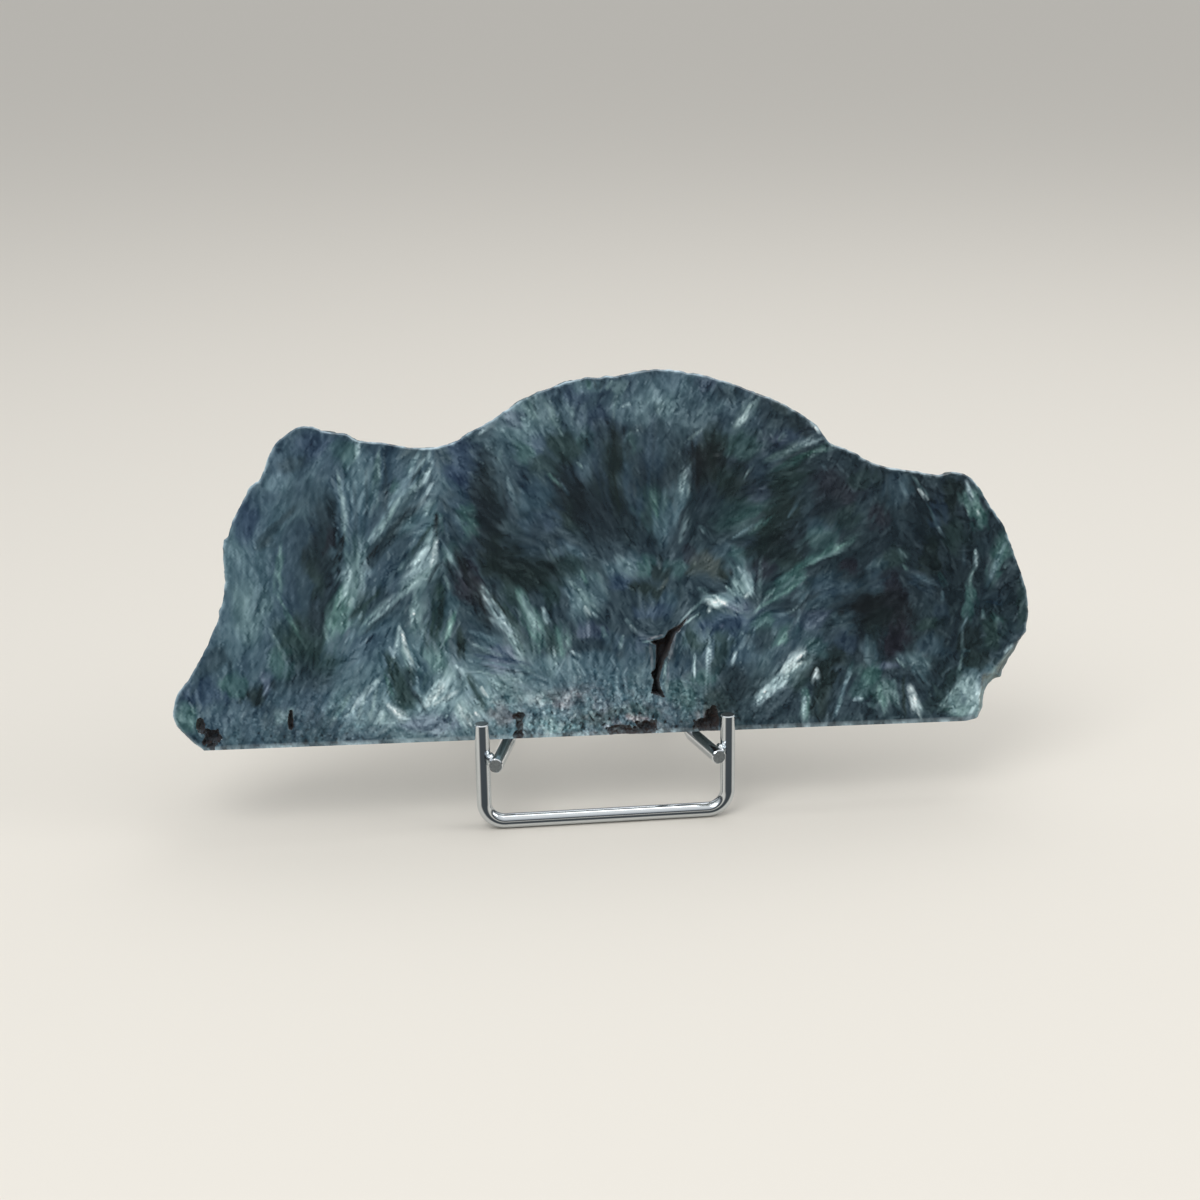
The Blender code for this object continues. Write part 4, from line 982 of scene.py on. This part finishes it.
def lieWeights(lie, x, y):
    # how much of each of the eight fibre directions shows at each point
    flowPitch = patternField["flowPitch"]
    rise, run = (sampleField(part(2 * lie), x, y, flowPitch) for part in (np.sin, np.cos))
    angle = np.arctan2(rise, run) / 2
    weights = np.stack([np.cos(angle - k * math.pi / 8) ** 2 for k in range(8)], axis=1) ** 12
    return weights / np.sqrt((weights ** 2).sum(1))[:, None]


def slabPlace():
    # middle of its front lower edge: just behind the uprights, with the back edge on the arms
    beside = standShape["wireRadius"] + standShape["gap"]
    rise = slabShape["thickness"] * math.sin(math.radians(slabShape["lean"]))
    return Vector((0, beside, standShape["armHeight"] + beside + rise))


def makeSlabMesh(lie, colourField, gritField):
    verts, faces, kinds, hollow, breaks, ringCount = buildSlab()
    turn = Matrix.Rotation(math.radians(slabShape["outOfLevel"]), 3, "Y") @ Matrix.Rotation(
        math.radians(90 - slabShape["lean"]), 3, "X")
    world = (verts @ np.array(turn).T + np.array(standPlace + slabPlace())) * mm
    mesh = bpy.data.meshes.new("seraphiniteSlab")
    mesh.from_pydata(world.tolist(), [], [tuple(int(i) for i in face) for face in faces])
    mesh.polygons.foreach_set("material_index", faceSlots(verts, faces, kinds, hollow, breaks))

    # colours, with a pale painted highlight along the arris where the polished bevel catches the light
    x, y = verts[:, 0], verts[:, 1]
    colour = sampleField(colourField, x, y, patternField["pitch"])
    edge = np.zeros(len(verts))
    edge[:ringCount] = 1.0
    edge[ringCount:2 * ringCount] = 0.5
    # painted highlight: the outer ring of the arris takes the pale frost tone in full and the next ring
    # half, broken up by noise
    paintedRimHighlight = edge * np.clip(0.5 + 1.1 * cloudNoise(x, y, 2.2, 511), 0.0, 1.0)
    colour = np.clip(blendTone(colour, "frost", paintedRimHighlight), 0, 1)
    weights = lieWeights(lie, x, y)
    layers = {
        "stoneColour": ("FLOAT_COLOR", "color", np.column_stack([toLinear(colour), np.ones(len(verts))])),
        "fibreLieA": ("FLOAT_COLOR", "color", weights[:, :4]),
        "fibreLieB": ("FLOAT_COLOR", "color", weights[:, 4:]),
        "grainShare": ("FLOAT", "value", sampleField(gritField, x, y, patternField["pitch"])),
        "slabPlace": ("FLOAT_VECTOR", "vector", verts),
    }
    for name, (kind, field, values) in layers.items():
        layer = mesh.attributes.new(name, kind, "POINT")
        layer.data.foreach_set(field, np.ascontiguousarray(values, dtype=np.float32).ravel())
    mesh.update()
    mesh.shade_smooth()
    mesh.set_sharp_from_angle(angle=math.radians(slabShape["sharpAngle"]))
    return mesh


# Seraphinite, a clinochlore with silvery feather plumes, cut and polished to a high gloss:
# a dark green to slate blue ground under a hard clear polish, with paler fibres whose silky shine is a
# painted sheen in their colour.
# Sizes are in mm; its fibres and grit are about 0.1 mm wide and are drawn coarser, so that they show.
polishedStone = {
    "ior": 1.58, "roughness": 0.2, "fibreLength": 3.2, "fibreWidth": 0.42, "fibreContrast": 0.34,
    "gritSize": 0.75, "gritContrast": 0.55, "bumpStrength": 0.15, "bumpHeight": 0.03,
}


def polishedStoneMaterial():
    material, tree = newTree("polishedSeraphinite")
    place = addNode(tree, "ShaderNodeAttribute", {"attribute_name": "slabPlace"}).outputs["Vector"]
    ground = addNode(tree, "ShaderNodeAttribute", {"attribute_name": "stoneColour"}).outputs["Color"]
    fibre = 0.0
    for layer, name in enumerate(("fibreLieA", "fibreLieB")):
        lieNode = addNode(tree, "ShaderNodeAttribute", {"attribute_name": name})
        split = addNode(tree, "ShaderNodeSeparateColor", {}, {"Color": lieNode.outputs["Color"]})
        shares = [*split.outputs, lieNode.outputs["Alpha"]]
        for index, share in enumerate(shares):
            turned = addNode(tree, "ShaderNodeMapping", {"vector_type": "TEXTURE"}, {
                "Vector": place,
                "Rotation": (0.0, 0.0, (4 * layer + index) * math.pi / 8),
                "Scale": (polishedStone["fibreLength"], polishedStone["fibreWidth"], 1.0)})
            strand = addNode(tree, "ShaderNodeTexNoise", {}, {
                "Vector": turned.outputs["Vector"], "Scale": 1.0, "Detail": 2.0, "Roughness": 0.6})
            level = addNode(tree, "ShaderNodeMath", {"operation": "SUBTRACT"}, {
                0: strand.outputs[0], 1: 0.5})
            fibre = addNode(tree, "ShaderNodeMath", {"operation": "MULTIPLY_ADD"}, {
                0: level.outputs[0], 1: share, 2: fibre}).outputs[0]
    combedGain = addNode(tree, "ShaderNodeMath", {"operation": "MULTIPLY_ADD"}, {
        0: fibre, 1: polishedStone["fibreContrast"], 2: 1.0})
    # fine grit along the foot, lighter and darker than its ground
    share = addNode(tree, "ShaderNodeAttribute", {"attribute_name": "grainShare"}).outputs["Fac"]
    grit = addNode(tree, "ShaderNodeTexNoise", {}, {
        "Vector": place, "Scale": 1 / polishedStone["gritSize"],
        "Detail": 3.0, "Roughness": 0.7, "Distortion": 0.6})
    gritLevel = addNode(tree, "ShaderNodeMapRange", {}, {
        "Value": grit.outputs[0], "From Min": 0.3, "From Max": 0.7,
        "To Min": -polishedStone["gritContrast"], "To Max": polishedStone["gritContrast"]})
    gain = addNode(tree, "ShaderNodeMath", {"operation": "MULTIPLY_ADD"}, {
        0: gritLevel.outputs[0], 1: share, 2: combedGain.outputs[0]})
    combed = addNode(tree, "ShaderNodeVectorMath", {"operation": "SCALE"}, {
        "Vector": ground, "Scale": gain.outputs[0]})
    bump = addNode(tree, "ShaderNodeBump", {}, {
        "Strength": polishedStone["bumpStrength"], "Distance": polishedStone["bumpHeight"] * mm,
        "Height": fibre})
    shader = addNode(tree, "ShaderNodeBsdfPrincipled", {}, {
        "Base Color": combed.outputs[0], "Roughness": polishedStone["roughness"],
        "IOR": polishedStone["ior"], "Normal": bump.outputs["Normal"]})
    addNode(tree, "ShaderNodeOutputMaterial", {}, {"Surface": shader.outputs[0]})
    return material


# the same stone where it was never polished: its own colours under a dull cover; sizes in mm
plainStones = {
    # natural outer skin, weathered and lumpy: dry, grey and without shine
    "weatheredRind": {
        "grain": 1.0, "coverLow": 0.0, "coverHigh": 0.8, "tone": "#737f7a", "bump": 1.0, "roughness": 0.75,
        "stretch": (1.0, 1.0, 0.6),
    },
    # cut with a diamond blade and left so: a pale satin face with fine marks along the cut
    "sawnStone": {
        "grain": 0.5, "coverLow": 0.1, "coverHigh": 0.42, "tone": "#7f8f90", "bump": 0.35, "roughness": 0.5,
        "stretch": (0.04, 1.0, 1.0),
    },
    # broken open and stained by iron: rough, brown and almost black in its depth
    "crackWall": {
        "grain": 1.1, "coverLow": 0.45, "coverHigh": 1.0, "tone": "#2d1f1b", "bump": 0.9, "roughness": 0.85,
        "stretch": (1.0, 1.0, 1.0),
    },
}


def plainStoneMaterial(name, settings):
    material, tree = newTree(name)
    place = addNode(tree, "ShaderNodeAttribute", {"attribute_name": "slabPlace"}).outputs["Vector"]
    ground = addNode(tree, "ShaderNodeAttribute", {"attribute_name": "stoneColour"}).outputs["Color"]
    drawn = addNode(tree, "ShaderNodeMapping", {}, {"Vector": place, "Scale": settings["stretch"]})
    grain = addNode(tree, "ShaderNodeTexNoise", {}, {
        "Vector": drawn.outputs[0], "Scale": 1 / settings["grain"], "Detail": 5.0, "Roughness": 0.65})
    cover = addNode(tree, "ShaderNodeMapRange", {}, {
        "Value": grain.outputs[0], "From Min": 0.35, "From Max": 0.65,
        "To Min": settings["coverLow"], "To Max": settings["coverHigh"]})
    dulled = addNode(tree, "ShaderNodeMix", {"data_type": "RGBA"}, {
        0: cover.outputs[0], 6: ground, 7: paint(settings["tone"])})
    bump = addNode(tree, "ShaderNodeBump", {}, {
        "Strength": settings["bump"], "Distance": 0.3 * mm, "Height": grain.outputs[0]})
    shader = addNode(tree, "ShaderNodeBsdfPrincipled", {}, {
        "Base Color": dulled.outputs[2], "Roughness": settings["roughness"],
        "IOR": polishedStone["ior"], "Normal": bump.outputs["Normal"]})
    addNode(tree, "ShaderNodeOutputMaterial", {}, {"Surface": shader.outputs[0]})
    return material


print("pattern")
lie, colourField, gritField = paintPattern()
print("slab mesh")
slabMesh = makeSlabMesh(lie, colourField, gritField)
stoneFinishes = [polishedStoneMaterial()]
stoneFinishes += [plainStoneMaterial(name, settings) for name, settings in plainStones.items()]
slab = addPiece("seraphiniteSlab", slabMesh, stoneFinishes)
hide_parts("slab")
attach(slab, "root")


# The stand's two rods, in millimetres
rodShape = {
    "radius": 1.96, "sides": 40, "bendRadius": 5.5, "endChamfer": 0.25, "sharpAngle": 35.0,
    "bendStep": 4.0, "straightStep": 3.0,  # degrees and millimetres from one ring to the next
    # middle of each weld bead, its size, and the size and height of its ripples
    "beads": [(-32.4, -35.3, 19.6), (28.3, -35.3, 18.8)],
    "beadSize": (1.2, 2.1, 1.7), "beadRipple": 0.9, "rippleHeight": 0.35, "beadRows": 12, "beadSides": 20,
}


def levelled(x, height):
    # arms and slab sit out of level, lower towards the right
    return height - x * math.tan(math.radians(slabShape["outOfLevel"]))


def slabBackAt(height):
    # how far behind the uprights the slab's back is
    edge, thickness, lean = slabPlace(), slabShape["thickness"], math.radians(slabShape["lean"])
    backY, backZ = edge.y + thickness * math.cos(lean), edge.z - thickness * math.sin(lean)
    return backY + (height - backZ) * math.tan(lean)


def frontCorners():
    # from upright top to upright top
    side, top, foot = standShape["frameWidth"] / 2, standShape["uprightTop"], rodShape["radius"]
    return [(-side, 0, levelled(-side, top)), (-side, 0, foot),
            (side, 0, foot), (side, 0, levelled(side, top))]


def rearCorners(side):
    # an arm from its cut end, the finger behind the slab, and the leg down to the foot
    toeIn, fingerLean = (math.tan(math.radians(standShape[k])) for k in ("armToeIn", "fingerLean"))
    armHeight, apex, overhang = (standShape[k] for k in ("armHeight", "hairpinApex", "armOverhang"))
    besideUpright = standShape["frameWidth"] / 2 - 2 * standShape["wireRadius"] - standShape["gap"]
    touch = apex - standShape["hairpinDrop"]
    touchY = slabBackAt(touch) + standShape["wireRadius"] + standShape["fingerGap"]
    fingerFoot = touchY - (touch - armHeight) * fingerLean
    frontX = side * (besideUpright + overhang * toeIn)
    backX = side * (besideUpright - fingerFoot * toeIn)
    return [
        (frontX, -overhang, levelled(frontX, armHeight)),
        (backX, fingerFoot, levelled(backX, armHeight)),
        (backX, fingerFoot + (apex - armHeight) * fingerLean, apex),
        (backX, standShape["rearFoot"], rodShape["radius"]),
    ]


def straightRun(start, end):
    # the points after the start, evenly spaced
    steps = max(1, int((end - start).length / rodShape["straightStep"]))
    return [start.lerp(end, k / steps) for k in range(1, steps + 1)]


def roundedPath(corners):
    corners = [standPlace + Vector(corner) for corner in corners]
    bendRadius = rodShape["bendRadius"]
    points = [corners[0]]
    for before, corner, after in zip(corners, corners[1:], corners[2:]):
        arriving, leaving = (corner - before).normalized(), (after - corner).normalized()
        turn = arriving.angle(leaving)
        start = corner - arriving * bendRadius * math.tan(turn / 2)
        inward = (leaving - arriving * math.cos(turn)).normalized()
        points += straightRun(points[-1], start)
        steps = math.ceil(math.degrees(turn) / rodShape["bendStep"])
        for step in range(1, steps + 1):
            swept = turn * step / steps
            offset = arriving * math.sin(swept) + inward * (1 - math.cos(swept))
            points.append(start + offset * bendRadius)
    return points + straightRun(points[-1], corners[-1])


def addBead(centre, verts, faces, slots):
    # a lump of weld metal, rippled as it set
    rows, sides = rodShape["beadRows"], rodShape["beadSides"]
    start = len(verts)
    for row in range(rows + 1):
        wide, high = math.sin(math.pi * row / rows), math.cos(math.pi * row / rows)
        for k in range(sides):
            turn = 2 * math.pi * k / sides
            way = Vector((wide * math.cos(turn), wide * math.sin(turn), high))
            spot = Vector(centre) + way * Vector(rodShape["beadSize"])
            ripple = rodShape["rippleHeight"] * noise.noise(spot / rodShape["beadRipple"])
            verts.append((spot + way * ripple) * mm)
    for row in range(rows):
        for k in range(sides):
            a, b = start + row * sides + k, start + row * sides + (k + 1) % sides
            faces.append((a, a + sides, b + sides, b))
            slots.append(0)


def rodMesh(name, corners, beads):
    path = roundedPath(corners)
    ahead, behind = path[1:] + path[-1:], path[:1] + path[:-1]
    tangents = [(b - a).normalized() for a, b in zip(behind, ahead)]
    chamfer, radius, sides = rodShape["endChamfer"], rodShape["radius"], rodShape["sides"]
    first, last = tangents[0], tangents[-1]
    stations = [(path[0], first, radius - chamfer), (path[0] + first * chamfer, first, radius)]
    stations += [(place, tangent, radius) for place, tangent in zip(path[1:-1], tangents[1:-1])]
    stations += [(path[-1] - last * chamfer, last, radius), (path[-1], last, radius - chamfer)]
    verts, faces, slots = [], [], []
    side = first.orthogonal().normalized()
    for place, tangent, size in stations:
        side = (side - tangent * side.dot(tangent)).normalized()
        other = tangent.cross(side)
        for k in range(sides):
            turn = 2 * math.pi * k / sides
            verts.append((place + (side * math.cos(turn) + other * math.sin(turn)) * size) * mm)
    for row in range(len(stations) - 1):
        for k in range(sides):
            a, b = row * sides + k, row * sides + (k + 1) % sides
            faces.append((a, b, b + sides, a + sides))
            slots.append(0)
    for row in (0, len(stations) - 1):
        middle = len(verts)
        verts.append(stations[row][0] * mm)
        for k in range(sides):
            a, b = row * sides + k, row * sides + (k + 1) % sides
            faces.append((middle, a, b) if row else (middle, b, a))
            slots.append(1)
    for centre in beads:
        addBead(centre, verts, faces, slots)
    mesh = bpy.data.meshes.new(name)
    mesh.from_pydata([vert[:] for vert in verts], [], faces)
    mesh.polygons.foreach_set("material_index", slots)
    mesh.update()
    mesh.shade_smooth()
    mesh.set_sharp_from_angle(angle=math.radians(rodShape["sharpAngle"]))
    return mesh


# Chrome-plated steel rod, drawn, bent cold and plated: a hard mirror, faintly smeared. A dark stripe is
# painted into its colour wherever it faces straight forward or back: a painted reflection of a dim room
chromePlate = {
    "tone": "#d5dadd", "paintedReflectionTone": "#474f57", "stripeFrom": 0.82, "stripeTo": 0.95, "upwardShare": -0.6,
    "smearSize": 3.85, "smearHeight": 0.05, "smoothest": 0.05, "roughest": 0.13,
}
# Sheared steel, unplated: a grey satin end, torn in grains that are drawn 0.4 mm wide so that they show
cutSteel = {"dark": "#4a4f53", "light": "#8e9598", "grain": 0.4, "roughness": 0.42}


def chromeMaterial():
    material, tree = newTree("chromePlatedWire")
    spot = addNode(tree, "ShaderNodeTexCoord")
    smear = addNode(tree, "ShaderNodeTexNoise", {}, {
        "Vector": spot.outputs["Object"], "Scale": 1 / (chromePlate["smearSize"] * mm), "Detail": 4.0})
    rough = addNode(tree, "ShaderNodeMapRange", {}, {
        "Value": smear.outputs[0], "From Min": 0.3, "From Max": 0.7,
        "To Min": chromePlate["smoothest"], "To Max": chromePlate["roughest"]})
    # painted reflection: the base colour turns dark where the wire faces straight forward or back, standing
    # in for a dim room seen in the chrome
    way = addNode(tree, "ShaderNodeSeparateXYZ", {}, {"Vector": spot.outputs["Normal"]})
    forward = addNode(tree, "ShaderNodeMath", {"operation": "ABSOLUTE"}, {0: way.outputs["Y"]})
    upward = addNode(tree, "ShaderNodeMath", {"operation": "ABSOLUTE"}, {0: way.outputs["Z"]})
    level = addNode(tree, "ShaderNodeMath", {"operation": "MULTIPLY_ADD"}, {
        0: upward.outputs[0], 1: chromePlate["upwardShare"], 2: forward.outputs[0]})
    paintedReflection = addNode(tree, "ShaderNodeMapRange", {"interpolation_type": "SMOOTHSTEP"}, {
        "Value": level.outputs[0],
        "From Min": chromePlate["stripeFrom"], "From Max": chromePlate["stripeTo"]})
    shade = addNode(tree, "ShaderNodeMix", {"data_type": "RGBA"}, {
        0: paintedReflection.outputs[0], 6: paint(chromePlate["tone"]), 7: paint(chromePlate["paintedReflectionTone"])})
    bump = addNode(tree, "ShaderNodeBump", {}, {
        "Strength": 0.1, "Distance": chromePlate["smearHeight"] * mm, "Height": smear.outputs[0]})
    shader = addNode(tree, "ShaderNodeBsdfPrincipled", {}, {
        "Base Color": shade.outputs[2], "Metallic": 1.0, "Roughness": rough.outputs[0],
        "Normal": bump.outputs["Normal"]})
    addNode(tree, "ShaderNodeOutputMaterial", {}, {"Surface": shader.outputs[0]})
    return material


def cutEndMaterial():
    material, tree = newTree("shearedWireEnd")
    place = addNode(tree, "ShaderNodeTexCoord").outputs["Object"]
    grain = addNode(tree, "ShaderNodeTexNoise", {}, {
        "Vector": place, "Scale": 1 / (cutSteel["grain"] * mm), "Detail": 3.0})
    shade = addNode(tree, "ShaderNodeMix", {"data_type": "RGBA"}, {
        0: grain.outputs[0], 6: paint(cutSteel["dark"]), 7: paint(cutSteel["light"])})
    shader = addNode(tree, "ShaderNodeBsdfPrincipled", {}, {
        "Base Color": shade.outputs[2], "Metallic": 1.0, "Roughness": cutSteel["roughness"]})
    addNode(tree, "ShaderNodeOutputMaterial", {}, {"Surface": shader.outputs[0]})
    return material


print("stand")
chrome, cutEnd = chromeMaterial(), cutEndMaterial()
rods = {
    "frontFrameRod": ("front_frame", frontCorners(), []),
    "rearFrameRod": ("rear_frame", rearCorners(-1) + rearCorners(1)[::-1], rodShape["beads"]),
}
for name, (node, corners, beads) in rods.items():
    rod = addPiece(name, rodMesh(name, corners, beads), [chrome, cutEnd])
    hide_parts(node)
    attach(rod, "root")


# Studio: pale floor, soft lights, and a camera that looks as the photograph does
studio = {
    "azimuth": -6.0, "elevation": 18.0, "roll": 0.8, "target": (-1.0, 0.0, 62.2), "distance": 550.0,
    "lens": 64.02, "sensor": 36.0, "floorSize": 12.0, "floorTone": "#d6d1c8", "floorRoughness": 0.8,
    # place, aim, size and power
    "lights": {
        "keyLight": ((-0.45, -0.75, 0.95), (0, -0.02, 0.05), 0.7, 6.0),
        "topLight": ((0.25, 0.25, 1.1), (0, 0, 0.05), 0.9, 4.0),
        "sideLight": ((0.95, -0.35, 0.55), (0, 0, 0.06), 0.5, 2.0),
    },
    # share of the way up, tone: pale as the floor at the horizon, a dim room, then a bright ceiling
    "sky": [(0.05, "#b9b6af"), (0.12, "#3c4146"), (0.26, "#43484d"), (0.42, "#b9bdc1"), (0.8, "#f4f5f6")],
}


def buildFloor():
    half = studio["floorSize"]
    mesh = bpy.data.meshes.new("paleFloor")
    corners = [(-half, -half, 0), (half, -half, 0), (half, half, 0), (-half, half, 0)]
    mesh.from_pydata(corners, [], [(0, 1, 2, 3)])
    material, tree = newTree("palePaper")
    shader = addNode(tree, "ShaderNodeBsdfPrincipled", {}, {
        "Base Color": paint(studio["floorTone"]), "Roughness": studio["floorRoughness"]})
    addNode(tree, "ShaderNodeOutputMaterial", {}, {"Surface": shader.outputs[0]})
    mesh.materials.append(material)
    floor = bpy.data.objects.new("paleFloor", mesh)
    bpy.context.scene.collection.objects.link(floor)


def buildLights():
    for name, (place, aim, size, power) in studio["lights"].items():
        data = bpy.data.lights.new(name, "AREA")
        data.shape = "SQUARE"
        data.size = size
        data.energy = power
        lamp = bpy.data.objects.new(name, data)
        lamp.location = place
        lamp.rotation_euler = (Vector(aim) - Vector(place)).to_track_quat("-Z", "Y").to_euler()
        bpy.context.scene.collection.objects.link(lamp)


def buildRoom():
    world = bpy.data.worlds.new("softRoom")
    world.use_nodes = True
    tree = world.node_tree
    tree.nodes.clear()
    way = addNode(tree, "ShaderNodeTexCoord").outputs["Generated"]
    split = addNode(tree, "ShaderNodeSeparateXYZ", {}, {"Vector": way})
    shade = addNode(tree, "ShaderNodeValToRGB", {}, {0: split.outputs["Z"]})
    stops = shade.color_ramp.elements
    for index, (height, tone) in enumerate(studio["sky"]):
        stop = stops[index] if index < 2 else stops.new(height)
        stop.position = height
        stop.color = paint(tone)
    glow = addNode(tree, "ShaderNodeBackground", {}, {"Color": shade.outputs[0], "Strength": 1.0})
    addNode(tree, "ShaderNodeOutputWorld", {}, {"Surface": glow.outputs[0]})
    bpy.context.scene.world = world
    bpy.context.scene.view_settings.view_transform = "Standard"


def buildCamera():
    azimuth, elevation, roll = (math.radians(studio[k]) for k in ("azimuth", "elevation", "roll"))
    ahead = Vector((-math.sin(azimuth) * math.cos(elevation), math.cos(azimuth) * math.cos(elevation),
                    -math.sin(elevation)))
    level = ahead.cross(Vector((0, 0, 1))).normalized()
    plumb = level.cross(ahead)
    right = level * math.cos(roll) - plumb * math.sin(roll)
    up = level * math.sin(roll) + plumb * math.cos(roll)
    data = bpy.data.cameras.new("camera")
    data.lens = studio["lens"]
    data.sensor_width = studio["sensor"]
    camera = bpy.data.objects.new("camera", data)
    turn = Matrix((right, up, -ahead)).transposed()
    stand = (standPlace + Vector(studio["target"]) - ahead * studio["distance"]) * mm
    camera.matrix_world = Matrix.Translation(stand) @ turn.to_4x4()
    bpy.context.scene.collection.objects.link(camera)
    bpy.context.scene.camera = camera


print("studio")
buildFloor()
buildLights()
buildRoom()
buildCamera()
